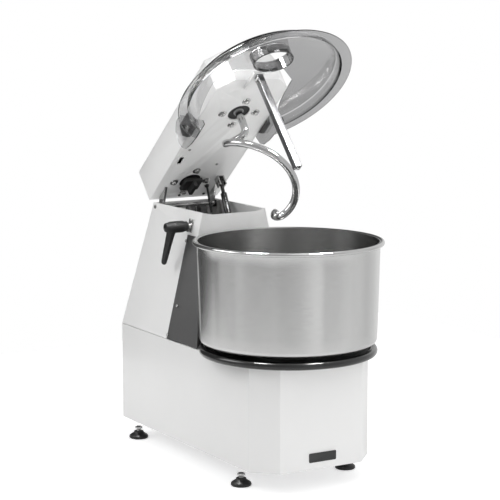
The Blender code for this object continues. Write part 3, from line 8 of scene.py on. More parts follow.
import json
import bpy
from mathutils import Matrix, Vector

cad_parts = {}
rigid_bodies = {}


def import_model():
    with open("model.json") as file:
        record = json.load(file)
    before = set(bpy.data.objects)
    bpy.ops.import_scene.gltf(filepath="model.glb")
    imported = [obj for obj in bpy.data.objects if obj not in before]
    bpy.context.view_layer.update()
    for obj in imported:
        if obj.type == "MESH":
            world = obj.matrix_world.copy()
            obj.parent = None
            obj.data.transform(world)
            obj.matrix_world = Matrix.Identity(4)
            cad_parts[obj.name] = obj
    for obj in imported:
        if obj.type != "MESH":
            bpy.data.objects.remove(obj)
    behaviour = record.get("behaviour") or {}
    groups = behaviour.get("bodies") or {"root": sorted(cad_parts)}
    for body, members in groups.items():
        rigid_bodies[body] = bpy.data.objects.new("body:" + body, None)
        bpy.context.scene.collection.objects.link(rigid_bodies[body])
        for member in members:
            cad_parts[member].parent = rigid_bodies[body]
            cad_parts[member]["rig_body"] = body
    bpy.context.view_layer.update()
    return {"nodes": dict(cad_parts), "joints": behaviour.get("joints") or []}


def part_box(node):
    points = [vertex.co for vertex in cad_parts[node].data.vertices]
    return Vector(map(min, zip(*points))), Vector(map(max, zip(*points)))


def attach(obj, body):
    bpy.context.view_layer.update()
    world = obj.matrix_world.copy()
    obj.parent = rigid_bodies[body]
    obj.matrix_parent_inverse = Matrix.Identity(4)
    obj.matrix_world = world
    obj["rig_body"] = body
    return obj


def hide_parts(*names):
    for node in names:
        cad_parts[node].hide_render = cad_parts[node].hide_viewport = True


bl_info = {
    "name": "Spiral Dough Mixer",
    "version": (1, 0, 0),
    "blender": (4, 5, 0),
    "location": "3D View > Sidebar > Mixer",
    "description": "Builds the finished pieces and materials of a spiral dough mixer round its frame",
    "category": "Add Mesh",
}

from math import atan, atan2, cos, pi, radians, sin

import bmesh
import bpy
from mathutils import Matrix, Vector

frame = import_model()

# ---------- places from the frame
NODES = frame["nodes"]
JOINTS = {joint["name"]: joint for joint in frame["joints"]}

HINGE = Vector(JOINTS["head_lift"]["pos_m"])
OPEN_ANGLE = -radians(JOINTS["head_lift"]["range_deg"][0])
RAISE = (Matrix.Translation(HINGE) @ Matrix.Rotation(-OPEN_ANGLE, 4, "X")
         @ Matrix.Translation(-HINGE))
LOWER = RAISE.inverted()

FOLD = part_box("base_deck")[1].z
BASE_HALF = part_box("base_shell")[1].x
COLUMN_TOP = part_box("side_left")[1].z
TOP_HALF = -min(v.co.x for v in NODES["side_left"].data.vertices if v.co.z > COLUMN_TOP - 0.0001)
TAPER = (BASE_HALF - TOP_HALF) / (COLUMN_TOP - FOLD)
LEAN = atan(TAPER)
BOWL_Y = JOINTS["turntable_spin"]["pos_m"][1]
CAMERA_PLACE = Vector((-2.55135, -4.26141, 1.33646))
CAMERA_AIM = Vector((-0.0803, -0.1286, 0.6243))


def lowered(node):
    """Lowest and highest corner of a head piece with the head shut."""
    points = [LOWER @ vertex.co for vertex in NODES[node].data.vertices]
    return (Vector(min(p[i] for p in points) for i in range(3)),
            Vector(max(p[i] for p in points) for i in range(3)))


def shut_place(joint):
    """A head joint's place with the head shut."""
    return LOWER @ Vector(JOINTS[joint]["pos_m"])


HEAD_LOW, HEAD_HIGH = lowered("head_cover")
HEAD_FLOOR = lowered("head_plate")[0].z
SPIRAL_HUB = shut_place("spiral_spin")
CLUTCH_HUB = shut_place("head_clutch_spin")
LID_PIVOT = shut_place("lid_open")


# ---------- sizes and colours to change
class CabinetSettings(bpy.types.PropertyGroup):
    """Sheet metal of the base, column and head."""
    paint: bpy.props.FloatVectorProperty(
        name="Paint", description="Colour of the powder coat", subtype="COLOR", size=3,
        default=(0.84, 0.84, 0.835))
    fairing: bpy.props.FloatVectorProperty(
        name="Fairing", description="Colour of the moulded corner covers", subtype="COLOR",
        size=3, default=(0.075, 0.075, 0.075))
    edge: bpy.props.FloatProperty(
        name="Sheet edge", description="Rounding of the folded sheet's edges", default=0.0011,
        unit="LENGTH")


class BowlSettings(bpy.types.PropertyGroup):
    """The bowl and its rubber ring."""
    sides: bpy.props.IntProperty(
        name="Sides", description="Facets round the bowl", default=160)
    roughness: bpy.props.FloatProperty(
        name="Brushing", description="Roughness of the brushed wall", default=0.20,
        subtype="FACTOR")
    wall: bpy.props.FloatProperty(
        name="Wall", description="Thickness of the bowl's sheet", default=0.002, unit="LENGTH")


class ToolSettings(bpy.types.PropertyGroup):
    """Spiral and breaker bar."""
    rod: bpy.props.FloatProperty(
        name="Rod radius", description="Radius of the spiral's round bar", default=0.0105,
        unit="LENGTH")
    radius: bpy.props.FloatProperty(
        name="Spiral radius", description="Spiral's axis to the middle of its bar",
        default=0.071, unit="LENGTH")
    depth: bpy.props.FloatProperty(
        name="Spiral depth", description="Head's underside to the bar's lowest point",
        default=0.318, unit="LENGTH")


class LidSettings(bpy.types.PropertyGroup):
    """The smoked lid."""
    tint: bpy.props.FloatVectorProperty(
        name="Tint", description="Colour that the lid gives to light", subtype="COLOR", size=3,
        default=(0.80, 0.80, 0.805))
    thick: bpy.props.FloatProperty(
        name="Thickness", description="Thickness of the lid's sheet", default=0.003,
        unit="LENGTH")
    dome: bpy.props.FloatProperty(
        name="Dome", description="Height of the dome above the flange", default=0.060,
        unit="LENGTH")
    flange: bpy.props.FloatProperty(
        name="Flange", description="Width of the flat flange", default=0.029, unit="LENGTH")


class StageSettings(bpy.types.PropertyGroup):
    """Camera and light."""
    lens: bpy.props.FloatProperty(
        name="Lens", description="Focal length on a 36 mm sensor, in millimetres", default=128.26)
    key: bpy.props.FloatProperty(
        name="Key light", description="Power of the large side light", default=9.0,
        unit="POWER")
    floor_glow: bpy.props.FloatProperty(
        name="Floor glow", description="Brightness added to the floor as the camera sees it",
        default=0.35)
    floor_fill: bpy.props.FloatProperty(
        name="Floor fill", description="Light that the floor gives upward", default=0.18)
    around: bpy.props.FloatProperty(
        name="Room light", description="Strength of the light from all round", default=0.66)


SETTINGS = {"cabinet": CabinetSettings, "bowl": BowlSettings, "tools": ToolSettings,
            "lid": LidSettings, "stage": StageSettings}


def setting(group):
    """The scene's own values of one settings group."""
    return getattr(bpy.context.scene, "mixer_" + group)


# ---------- node groups
def new_group(name, inputs, outputs):
    """Empty shader node group with named sockets."""
    group = bpy.data.node_groups.new(name, "ShaderNodeTree")
    for label, kind, value in inputs:
        socket = group.interface.new_socket(label, in_out="INPUT", socket_type=kind)
        socket.default_value = value
    for label, kind in outputs:
        group.interface.new_socket(label, in_out="OUTPUT", socket_type=kind)
    return group, group.nodes.new("NodeGroupInput"), group.nodes.new("NodeGroupOutput")


def node(tree, kind, **settings):
    """Add a node and set its properties or its sockets by name."""
    made = tree.nodes.new(kind)
    for label, value in settings.items():
        if hasattr(made, label):
            setattr(made, label, value)
        else:
            made.inputs[label.replace("_", " ")].default_value = value
    return made


def link(source, output, target, socket):
    """Join one node's output to a socket of another."""
    source.id_data.links.new(source.outputs[output], target.inputs[socket])


def grain_group():
    """Fine surface grain: a shade that varies over the surface, and a bump."""
    group, given, out = new_group(
        "surface_grain",
        [("Grain Scale", "NodeSocketFloat", 600.0), ("Patch Scale", "NodeSocketFloat", 6.0),
         ("Depth", "NodeSocketFloat", 0.1)],
        [("Patches", "NodeSocketFloat"), ("Grain", "NodeSocketFloat"),
         ("Normal", "NodeSocketVector")])
    place = node(group, "ShaderNodeTexCoord")
    fine = node(group, "ShaderNodeTexNoise", Detail=2.0)
    broad = node(group, "ShaderNodeTexNoise", Detail=3.0)
    bump = node(group, "ShaderNodeBump", Distance=0.0004)
    link(place, "Object", fine, "Vector")
    link(place, "Object", broad, "Vector")
    link(given, "Grain Scale", fine, "Scale")
    link(given, "Patch Scale", broad, "Scale")
    link(given, "Depth", bump, "Strength")
    link(fine, "Fac", bump, "Height")
    link(broad, "Fac", out, "Patches")
    link(fine, "Fac", out, "Grain")
    link(bump, "Normal", out, "Normal")
    return group


def brushing_group():
    """Brush lines: fine along one axis of the given vector, long along the other."""
    group, given, out = new_group(
        "brush_lines",
        [("Vector", "NodeSocketVector", (0, 0, 0)), ("Fineness", "NodeSocketFloat", 1500.0),
         ("Length", "NodeSocketFloat", 6.0), ("Depth", "NodeSocketFloat", 0.05)],
        [("Lines", "NodeSocketFloat"), ("Normal", "NodeSocketVector")])
    parts = node(group, "ShaderNodeSeparateXYZ")
    along = node(group, "ShaderNodeMath", operation="MULTIPLY")
    across = node(group, "ShaderNodeMath", operation="MULTIPLY")
    joined = node(group, "ShaderNodeCombineXYZ")
    lines = node(group, "ShaderNodeTexNoise", Scale=1.0, Detail=3.0, Roughness=0.7)
    bump = node(group, "ShaderNodeBump", Distance=0.0002)
    link(given, "Vector", parts, "Vector")
    link(parts, "X", along, 0)
    link(given, "Length", along, 1)
    link(parts, "Y", across, 0)
    link(given, "Fineness", across, 1)
    link(along, 0, joined, "X")
    link(across, 0, joined, "Y")
    link(joined, 0, lines, "Vector")
    link(given, "Depth", bump, "Strength")
    link(lines, "Fac", bump, "Height")
    link(lines, "Fac", out, "Lines")
    link(bump, "Normal", out, "Normal")
    return group


def wear_group():
    """Mask of lightly rubbed edges, broken up by noise."""
    group, given, out = new_group(
        "edge_wear", [("Amount", "NodeSocketFloat", 0.5), ("Scale", "NodeSocketFloat", 90.0)],
        [("Mask", "NodeSocketFloat")])
    place = node(group, "ShaderNodeTexCoord")
    shape = node(group, "ShaderNodeNewGeometry")
    ridge = node(group, "ShaderNodeMapRange", From_Min=0.51, From_Max=0.60)
    noise = node(group, "ShaderNodeTexNoise", Detail=3.0)
    mixed = node(group, "ShaderNodeMath", operation="MULTIPLY")
    scaled = node(group, "ShaderNodeMath", operation="MULTIPLY", use_clamp=True)
    link(place, "Object", noise, "Vector")
    link(given, "Scale", noise, "Scale")
    link(shape, "Pointiness", ridge, "Value")
    link(ridge, "Result", mixed, 0)
    link(noise, "Fac", mixed, 1)
    link(mixed, 0, scaled, 0)
    link(given, "Amount", scaled, 1)
    link(scaled, 0, out, "Mask")
    return group


GROUP_MAKERS = {"grain": grain_group, "brushing": brushing_group, "wear": wear_group}
GROUPS = {}


def placed(tree, name, **settings):
    """Place one of the shared node groups in a material."""
    if name not in GROUPS:
        GROUPS[name] = GROUP_MAKERS[name]()
    made = tree.nodes.new("ShaderNodeGroup")
    made.node_tree = GROUPS[name]
    for label, value in settings.items():
        made.inputs[label.replace("_", " ")].default_value = value
    return made


# ---------- finishes
def shaded(name, **sockets):
    """Material with a Principled shader whose plain sockets are set."""
    material = bpy.data.materials.new(name)
    material.use_nodes = True
    shader = material.node_tree.nodes["Principled BSDF"]
    for label, value in sockets.items():
        shader.inputs[label.replace("_", " ")].default_value = value
    return material, material.node_tree, shader


def ranged(tree, source, low, high):
    """Spread a 0 to 1 value over a range."""
    spread = node(tree, "ShaderNodeMapRange", From_Min=0.25, From_Max=0.75, To_Min=low, To_Max=high)
    tree.links.new(source, spread.inputs["Value"])
    return spread.outputs["Result"]


def tinted(tree, source, dark, light):
    """Mix two colours by a value."""
    mix = node(tree, "ShaderNodeMix", data_type="RGBA")
    mix.inputs[6].default_value = (*dark, 1)
    mix.inputs[7].default_value = (*light, 1)
    tree.links.new(source, mix.inputs[0])
    return mix.outputs[2]


def scaled_colour(colour, factor):
    """A colour made darker or lighter."""
    return tuple(min(1.0, channel * factor) for channel in colour)


def patterned(shader, pattern, output, colours, low, high):
    """Let a pattern vary a shader's colour and roughness, with the pattern's own bump."""
    tree, source = shader.id_data, pattern.outputs[output]
    tree.links.new(tinted(tree, source, *colours), shader.inputs["Base Color"])
    tree.links.new(ranged(tree, source, low, high), shader.inputs["Roughness"])
    link(pattern, "Normal", shader, "Normal")


def powder_coat(name, colour, roughness=0.33):
    """Powder coat with a fine orange-peel surface."""
    material, tree, shader = shaded(name, Coat_Weight=0.25, Coat_Roughness=0.12)
    grain = placed(tree, "grain", Grain_Scale=420.0, Patch_Scale=5.0, Depth=0.06)
    shades = scaled_colour(colour, 0.965), scaled_colour(colour, 1.02)
    patterned(shader, grain, "Patches", shades, roughness - 0.03, roughness + 0.04)
    return material


def moulded(name, colour, roughness, depth=0.25, scale=900.0, coat=0.0):
    """Moulded plastic or rubber with a fine texture and slightly rubbed edges."""
    material, tree, shader = shaded(name, Coat_Weight=coat, Coat_Roughness=0.08)
    grain = placed(tree, "grain", Grain_Scale=scale, Patch_Scale=14.0, Depth=depth)
    wear = placed(tree, "wear", Amount=0.5, Scale=120.0)
    mix = node(tree, "ShaderNodeMix", data_type="RGBA")
    mix.inputs[7].default_value = (*scaled_colour(colour, 1.6), 1)
    link(wear, "Mask", mix, 0)
    tree.links.new(tinted(tree, grain.outputs["Patches"], scaled_colour(colour, 0.88),
                          scaled_colour(colour, 1.12)), mix.inputs[6])
    link(mix, 2, shader, "Base Color")
    tree.links.new(ranged(tree, grain.outputs["Patches"], roughness - 0.05, roughness + 0.06),
                   shader.inputs["Roughness"])
    link(grain, "Normal", shader, "Normal")
    return material


def bowl_steel(name, light):
    """Stainless steel brushed round the bowl's axis."""
    rough = setting("bowl").roughness
    material, tree, shader = shaded(name, Metallic=1.0, Anisotropic=0.8,
                                    Anisotropic_Rotation=0.25)
    place = node(tree, "ShaderNodeTexCoord")
    shift = node(tree, "ShaderNodeVectorMath", operation="SUBTRACT")
    shift.inputs[1].default_value = (0, BOWL_Y, 0)
    parts = node(tree, "ShaderNodeSeparateXYZ")
    angle = node(tree, "ShaderNodeMath", operation="ARCTAN2")
    flat = node(tree, "ShaderNodeCombineXYZ")
    brushing = placed(tree, "brushing", Fineness=1100.0, Length=7.0, Depth=0.22)
    link(place, "Object", shift, 0)
    link(shift, 0, parts, "Vector")
    link(parts, "Y", angle, 0)
    link(parts, "X", angle, 1)
    link(angle, 0, flat, "X")
    link(parts, "Z", flat, "Y")
    link(flat, 0, brushing, "Vector")
    patterned(shader, brushing, "Lines", (scaled_colour(light, 0.84), light), rough - 0.05,
              rough + 0.07)
    tangent = node(tree, "ShaderNodeTangent", direction_type="RADIAL", axis="Z")
    link(tangent, 0, shader, "Tangent")
    return material


def drawn_steel(name, light, roughness, turn=0.0):
    """Steel with straight draw lines along Z, turned about X for a leaning piece."""
    material, tree, shader = shaded(name, Metallic=1.0)
    place = node(tree, "ShaderNodeTexCoord")
    lay = node(tree, "ShaderNodeMapping")
    lay.inputs["Rotation"].default_value = (turn, 0, 0)
    parts = node(tree, "ShaderNodeSeparateXYZ")
    side = node(tree, "ShaderNodeMath", operation="ADD")
    flat = node(tree, "ShaderNodeCombineXYZ")
    brushing = placed(tree, "brushing", Fineness=900.0, Length=22.0, Depth=0.08)
    link(place, "Object", lay, "Vector")
    link(lay, "Vector", parts, "Vector")
    link(parts, "X", side, 0)
    link(parts, "Y", side, 1)
    link(parts, "Z", flat, "X")
    link(side, 0, flat, "Y")
    link(flat, 0, brushing, "Vector")
    patterned(shader, brushing, "Lines", (scaled_colour(light, 0.86), light), roughness - 0.05,
              roughness + 0.07)
    return material


def polished(name, light, roughness):
    """Polished metal with faint handling marks."""
    material, tree, shader = shaded(name, Metallic=1.0)
    grain = placed(tree, "grain", Grain_Scale=260.0, Patch_Scale=22.0, Depth=0.012)
    patterned(shader, grain, "Patches", (scaled_colour(light, 0.95), light), roughness * 0.7,
              roughness * 1.6)
    return material


def smoked(name, tint, roughness=0.02):
    """Clear smoked plastic."""
    material, tree, shader = shaded(name, Transmission_Weight=1.0, IOR=1.47)
    grain = placed(tree, "grain", Grain_Scale=60.0, Patch_Scale=4.0, Depth=0.004)
    tree.links.new(tinted(tree, grain.outputs["Patches"], scaled_colour(tint, 0.97), tint),
                   shader.inputs["Base Color"])
    tree.links.new(ranged(tree, grain.outputs["Grain"], roughness, roughness + 0.015),
                   shader.inputs["Roughness"])
    return material


FINISH_MAKERS = {
    "white_coat": lambda name: powder_coat(name, setting("cabinet").paint),
    "inner_coat": lambda name: powder_coat(name, scaled_colour(setting("cabinet").paint, 0.92), 0.45),
    "fairing_grey": lambda name: moulded(name, setting("cabinet").fairing, 0.48, 0.10, 700.0),
    "black_handle": lambda name: moulded(name, (0.004, 0.004, 0.004), 0.50, 0.25, 1100.0),
    "black_gloss": lambda name: moulded(name, (0.006, 0.006, 0.006), 0.17, 0.02, 300.0, 0.4),
    "black_soft": lambda name: moulded(name, (0.010, 0.010, 0.010), 0.50, 0.30, 600.0),
    "foot_rubber": lambda name: moulded(name, (0.010, 0.010, 0.010), 0.38, 0.20, 500.0),
    "hinge_grey": lambda name: moulded(name, (0.055, 0.055, 0.057), 0.35, 0.15, 500.0),
    "turntable_black": lambda name: moulded(name, (0.008, 0.008, 0.008), 0.45, 0.2, 400.0),
    "casting_grey": lambda name: moulded(name, (0.20, 0.21, 0.22), 0.55, 0.6, 260.0),
    "hub_black": lambda name: moulded(name, (0.012, 0.012, 0.012), 0.55, 0.4, 260.0),
    "button_red": lambda name: moulded(name, (0.48, 0.012, 0.012), 0.28, 0.05, 400.0),
    "button_green": lambda name: moulded(name, (0.012, 0.25, 0.05), 0.28, 0.05, 400.0),
    "bowl_steel": lambda name: bowl_steel(name, (0.68, 0.68, 0.675)),
    # Same brushed steel as the outside, darker (0.46 against 0.68): painted shade for the bowl's inner
    # walls and floor
    "bowl_inside": lambda name: bowl_steel(name, (0.46, 0.46, 0.455)),
    "rim_steel": lambda name: polished(name, (0.60, 0.60, 0.595), 0.09),
    "spiral_steel": lambda name: polished(name, (0.55, 0.55, 0.55), 0.08),
    "fitting_steel": lambda name: polished(name, (0.50, 0.50, 0.495), 0.20),
    "machined_steel": lambda name: drawn_steel(name, (0.56, 0.56, 0.565), 0.34),
    "bar_steel": lambda name: drawn_steel(name, (0.30, 0.30, 0.305), 0.26, OPEN_ANGLE),
    "smoked_lid": lambda name: smoked(name, setting("lid").tint),
    "smoked_collar": lambda name: smoked(name, scaled_colour(setting("lid").tint, 0.32)),
}
FINISHES = {}


def finish(name):
    """A named finish, made when it is first used."""
    if name not in FINISHES:
        FINISHES[name] = FINISH_MAKERS[name](name)
    return FINISHES[name]


# ---------- modelling tools
def fresh():
    """Leave edit mode and select nothing."""
    if bpy.context.object and bpy.context.object.mode != "OBJECT":
        bpy.ops.object.mode_set(mode="OBJECT")
    bpy.ops.object.select_all(action="DESELECT")


def only(piece):
    """Make one piece the selected and active one."""
    fresh()
    piece.select_set(True)
    bpy.context.view_layer.objects.active = piece


def opened(piece):
    """Put one piece in edit mode with all of it selected."""
    only(piece)
    bpy.ops.object.mode_set(mode="EDIT")
    bpy.ops.mesh.select_all(action="SELECT")


def pick(piece, test, kind="faces"):
    """In edit mode, select the faces, edges or vertices that pass a test."""
    bpy.ops.mesh.select_mode(type={"faces": "FACE", "edges": "EDGE", "verts": "VERT"}[kind])
    bpy.ops.mesh.select_all(action="DESELECT")
    mesh = bmesh.from_edit_mesh(piece.data)
    for item in getattr(mesh, kind):
        item.select_set(bool(test(item)))
    mesh.select_flush_mode()
    bmesh.update_edit_mesh(piece.data)


def turned(name, rings, sides=48, closed=False, centre=(0, 0, 0)):
    """Turned piece: a circle drawn out ring by ring, each (radius, height)."""
    fresh()
    x, y, base = centre
    radius, height = rings[0]
    bpy.ops.mesh.primitive_circle_add(vertices=sides, radius=radius, location=(x, y, base + height))
    piece = bpy.context.active_object
    piece.name = name
    bpy.ops.object.mode_set(mode="EDIT")
    bpy.ops.mesh.select_mode(type="EDGE")
    bpy.ops.mesh.select_all(action="SELECT")
    for next_radius, next_height in rings[1:]:
        bpy.ops.mesh.extrude_edges_move(
            TRANSFORM_OT_translate={"value": (0, 0, next_height - height)})
        grow = next_radius / radius
        bpy.ops.transform.resize(value=(grow, grow, 1), center_override=(x, y, base + next_height))
        radius, height = next_radius, next_height
    bpy.ops.mesh.select_all(action="DESELECT")
    bpy.ops.mesh.select_mode(type="EDGE")
    bpy.ops.mesh.select_non_manifold(extend=False)
    if closed:
        bpy.ops.mesh.bridge_edge_loops()
    else:
        bpy.ops.mesh.edge_collapse()
    bpy.ops.mesh.select_all(action="SELECT")
    bpy.ops.mesh.normals_make_consistent(inside=False)
    bpy.ops.object.mode_set(mode="OBJECT")
    return piece


def arc(centre, radius, start, end, steps):
    """Points on an arc between two angles in degrees."""
    angles = [radians(start + (end - start) * i / steps) for i in range(steps + 1)]
    return [(centre[0] + radius * cos(a), centre[1] + radius * sin(a)) for a in angles]


def block(name, low, high):
    """A block between two corners, as a start for shaping."""
    fresh()
    low, high = Vector(low), Vector(high)
    bpy.ops.mesh.primitive_cube_add(size=1, location=(low + high) / 2, scale=high - low)
    piece = bpy.context.active_object
    piece.name = name
    bpy.ops.object.transform_apply(location=True, rotation=True, scale=True)
    return piece


def plate_of(name, outline, thickness, axis):
    """Plate of an outline: a filled circle set to the outline, drawn out along X or Z."""
    fresh()
    bpy.ops.mesh.primitive_circle_add(vertices=len(outline), fill_type="NGON")
    piece = bpy.context.active_object
    piece.name = name
    for corner, (a, b) in zip(piece.data.vertices, outline):
        corner.co = (0, a, b) if axis == "X" else (a, b, 0)
    way = (thickness, 0, 0) if axis == "X" else (0, 0, thickness)
    opened(piece)
    bpy.ops.mesh.extrude_region_move(TRANSFORM_OT_translate={"value": way})
    bpy.ops.mesh.select_all(action="SELECT")
    bpy.ops.mesh.normals_make_consistent(inside=False)
    bpy.ops.object.mode_set(mode="OBJECT")
    return piece


def moved(piece, place):
    """Carry a piece to its place and keep the place in its mesh."""
    only(piece)
    piece.matrix_world = place @ piece.matrix_world
    bpy.ops.object.transform_apply(location=True, rotation=True, scale=True)
    return piece


def combined(piece, other, operation):
    """Weld another piece on, or carve it out."""
    only(piece)
    boolean = piece.modifiers.new("Combine", "BOOLEAN")
    boolean.operation = operation
    boolean.object = other
    boolean.solver = "EXACT"
    bpy.ops.object.modifier_apply(modifier=boolean.name)
    bpy.data.objects.remove(other)
    return piece


def joined(pieces, name):
    """Join pieces into one."""
    only(pieces[0])
    for piece in pieces:
        piece.select_set(True)
    bpy.ops.object.join()
    pieces[0].name = name
    return pieces[0]


def eased(piece, width, segments=2, angle=30):
    """Round a piece's sharp edges."""
    only(piece)
    bevel = piece.modifiers.new("Edges", "BEVEL")
    bevel.width = width
    bevel.segments = segments
    bevel.limit_method = "ANGLE"
    bevel.angle_limit = radians(angle)
    bpy.ops.object.modifier_apply(modifier=bevel.name)
    return piece


def copied(piece, name, place):
    """A copy with its own mesh, carried to its place."""
    other = bpy.data.objects.new(name, piece.data.copy())
    bpy.context.scene.collection.objects.link(other)
    return moved(other, place)


def settle(piece, coat, body, replaced=(), crease=38):
    """Give a piece its finish and its body, with its place in its mesh."""
    only(piece)
    bpy.ops.object.transform_apply(location=True, rotation=True, scale=True)
    bpy.ops.object.shade_smooth_by_angle(angle=radians(crease))
    piece.data.materials.clear()
    piece.data.materials.append(finish(coat))
    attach(piece, body)
    if replaced:
        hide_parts(*replaced)
    return piece


def dressed(source, name, coat, width, segments=2, angle=30):
    """A copy of a machined or folded piece with its edges rounded, which stands for it."""
    piece = bpy.data.objects.new(name, NODES[source].data.copy())
    bpy.context.scene.collection.objects.link(piece)
    opened(piece)
    bpy.ops.mesh.remove_doubles(threshold=0.00002)
    bpy.ops.mesh.dissolve_limited(angle_limit=radians(0.8))
    bpy.ops.object.mode_set(mode="OBJECT")
    eased(piece, width, segments, angle)
    return settle(piece, coat, NODES[source]["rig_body"], (source,), crease=30)


def side_place(side, y, z, out=0.0):
    """A place on the leaning side of the column, with its Z axis pointing out."""
    x = BASE_HALF - TAPER * (z - FOLD)
    turn = Matrix.Rotation(side * (pi / 2 - LEAN), 4, "Y")
    return Matrix.Translation((side * x, y, z)) @ turn @ Matrix.Translation((0, 0, out))


# ---------- fasteners
def pan_screw(name, radius):
    """Pan-head screw with a cross recess, its seat on z = 0."""
    rings = [(0.0002, -0.001), (radius, -0.001), (radius, radius * 0.25),
             *arc((0, -radius * 0.55), radius * 1.14, 42, 86, 5)]
    head = turned(name, rings, 24)
    for turn in (0, 90):
        slot = block(name + "_slot", (-radius * 0.62, -radius * 0.11, radius * 0.25),
                     (radius * 0.62, radius * 0.11, radius))
        moved(slot, Matrix.Rotation(radians(turn + 20), 4, "Z"))
        combined(head, slot, "DIFFERENCE")
    return head


def hexagon(radius, height, middle, edge):
    """Hexagon with eased edges, its middle at the given height."""
    fresh()
    bpy.ops.mesh.primitive_cylinder_add(vertices=6, radius=radius, depth=height,
                                        location=(0, 0, middle))
    piece = bpy.context.active_object
    bpy.ops.object.transform_apply(location=True, rotation=True, scale=True)
    return eased(piece, edge, 2, 20)


def hex_bolt(name, radius, height):
    """Hexagon bolt on a washer, its seat on z = 0."""
    washer = 0.0016
    head = hexagon(radius, height, washer + height / 2, radius * 0.12)
    rings = [(radius * 0.45, 0), (radius * 1.62, 0), (radius * 1.68, washer * 0.3),
             (radius * 1.68, washer * 0.8), (radius * 1.60, washer), (radius * 0.45, washer)]
    ring = turned(name + "_washer", rings, 32, closed=True)
    return joined([head, ring], name)


def fastened(fastener, name, place, body="cabinet", coat="fitting_steel"):
    """A copy of a fastener at its place."""
    settle(copied(fastener, name, place), coat, body)


# ---------- cabinet
def build_cabinet():
    """Painted base, column and rear cover with rounded sheet edges."""
    edge = setting("cabinet").edge
    for source, name in (("base_shell", "base_walls"), ("side_left", "left_side_sheet"),
                         ("side_right", "right_side_sheet"), ("rear_cover", "rear_sheet"),
                         ("column_front", "front_sheet"), ("base_deck", "deck_sheet")):
        dressed(source, name, "white_coat", edge, 3)


def build_badge():
    """Blank badge plate with rounded corners and a raised border."""
    low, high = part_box("badge_plate")
    plate = block("badge_blank", low, high)
    only(plate)
    bpy.ops.object.mode_set(mode="EDIT")
    pick(plate, lambda e: abs(e.verts[0].co.y - e.verts[1].co.y) > 0.001, "edges")
    bpy.ops.mesh.bevel(offset=0.003, segments=4, affect="EDGES")
    pick(plate, lambda f: f.normal.y < -0.9)
    bpy.ops.mesh.inset(thickness=0.0012, depth=0)
    bpy.ops.mesh.inset(thickness=0.0003, depth=-0.0004)
    bpy.ops.object.mode_set(mode="OBJECT")
    eased(plate, 0.0002, 2)
    settle(plate, "black_gloss", "cabinet", ("badge_plate",))


def build_fairings():
    """Moulded corner covers and their screws."""
    screw = pan_screw("fairing_screw", 0.0046)
    spots = ((0.1484, 0.6184), (0.1250, 0.4378), (0.1452, 0.3524))
    proud = 0.0024
    for side, where in ((-1, "left"), (1, "right")):
        dressed("fairing_" + where, where + "_corner_cover", "fairing_grey", 0.0006, 2)
        for number, (y, z) in enumerate(spots, 1):
            fastened(screw, f"{where}_fairing_screw_{number}", side_place(side, y, z, proud))
    bpy.data.objects.remove(screw)


def build_feet():
    """Levelling feet: rubber pad, threaded stem and lock nut."""
    floor_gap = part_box("base_shell")[0].z
    pad_rings = [(0.0003, 0), (0.0262, 0), (0.0283, 0.0022), (0.0285, 0.0045), (0.0278, 0.0075),
                 (0.0262, 0.0098), (0.0205, 0.0135), (0.0160, 0.0165), (0.0142, 0.0192),
                 (0.0138, 0.0212), (0.0120, 0.0222), (0.0003, 0.0222)]
    pad = turned("pad", pad_rings, 48)
    stem_rings = [(0.0003, 0.020)]
    turns = 15
    for k in range(turns):
        z = 0.0215 + k * (floor_gap - 0.0225) / turns
        stem_rings += [(0.0059, z), (0.0065, z + 0.0009)]
    stem_rings += [(0.0059, floor_gap - 0.0005), (0.0003, floor_gap - 0.0005)]
    stem = turned("stem", stem_rings, 24)
    nut = hexagon(0.0113, 0.0062, floor_gap - 0.0036, 0.0009)
    stem = joined([stem, nut], "stem")
    for source in ("foot_front_left", "foot_front_right", "foot_rear_left", "foot_rear_right"):
        low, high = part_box(source)
        spot = Matrix.Translation(((low.x + high.x) / 2, (low.y + high.y) / 2, 0))
        settle(copied(pad, source + "_pad", spot), "foot_rubber", "cabinet", (source,))
        fastened(stem, source + "_stem", spot)
    bpy.data.objects.remove(pad)
    bpy.data.objects.remove(stem)


def build_controls():
    """Control panel, its buttons and knob, and the cable gland."""
    dressed("control_panel", "panel_plate", "hinge_grey", 0.0008, 2)
    dressed("start_button", "start_cap", "button_green", 0.0005, 2)
    dressed("stop_button", "stop_cap", "button_red", 0.0018, 3)
    dressed("timer_knob", "timer_cap", "black_handle", 0.0012, 3)
    dressed("cable_gland", "gland_body", "black_soft", 0.0007, 2)
    low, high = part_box("timer_knob")
    y = (low.y + high.y) / 2
    z = JOINTS["timer_turn"]["pos_m"][2]
    pointer = block("timer_pointer", (-0.0012, 0.001, 0), (0.0012, 0.0135, 0.0009))
    eased(pointer, 0.0003, 2)
    moved(pointer, side_place(1, y, z, 0.0220))
    settle(pointer, "white_coat", "timer_knob")


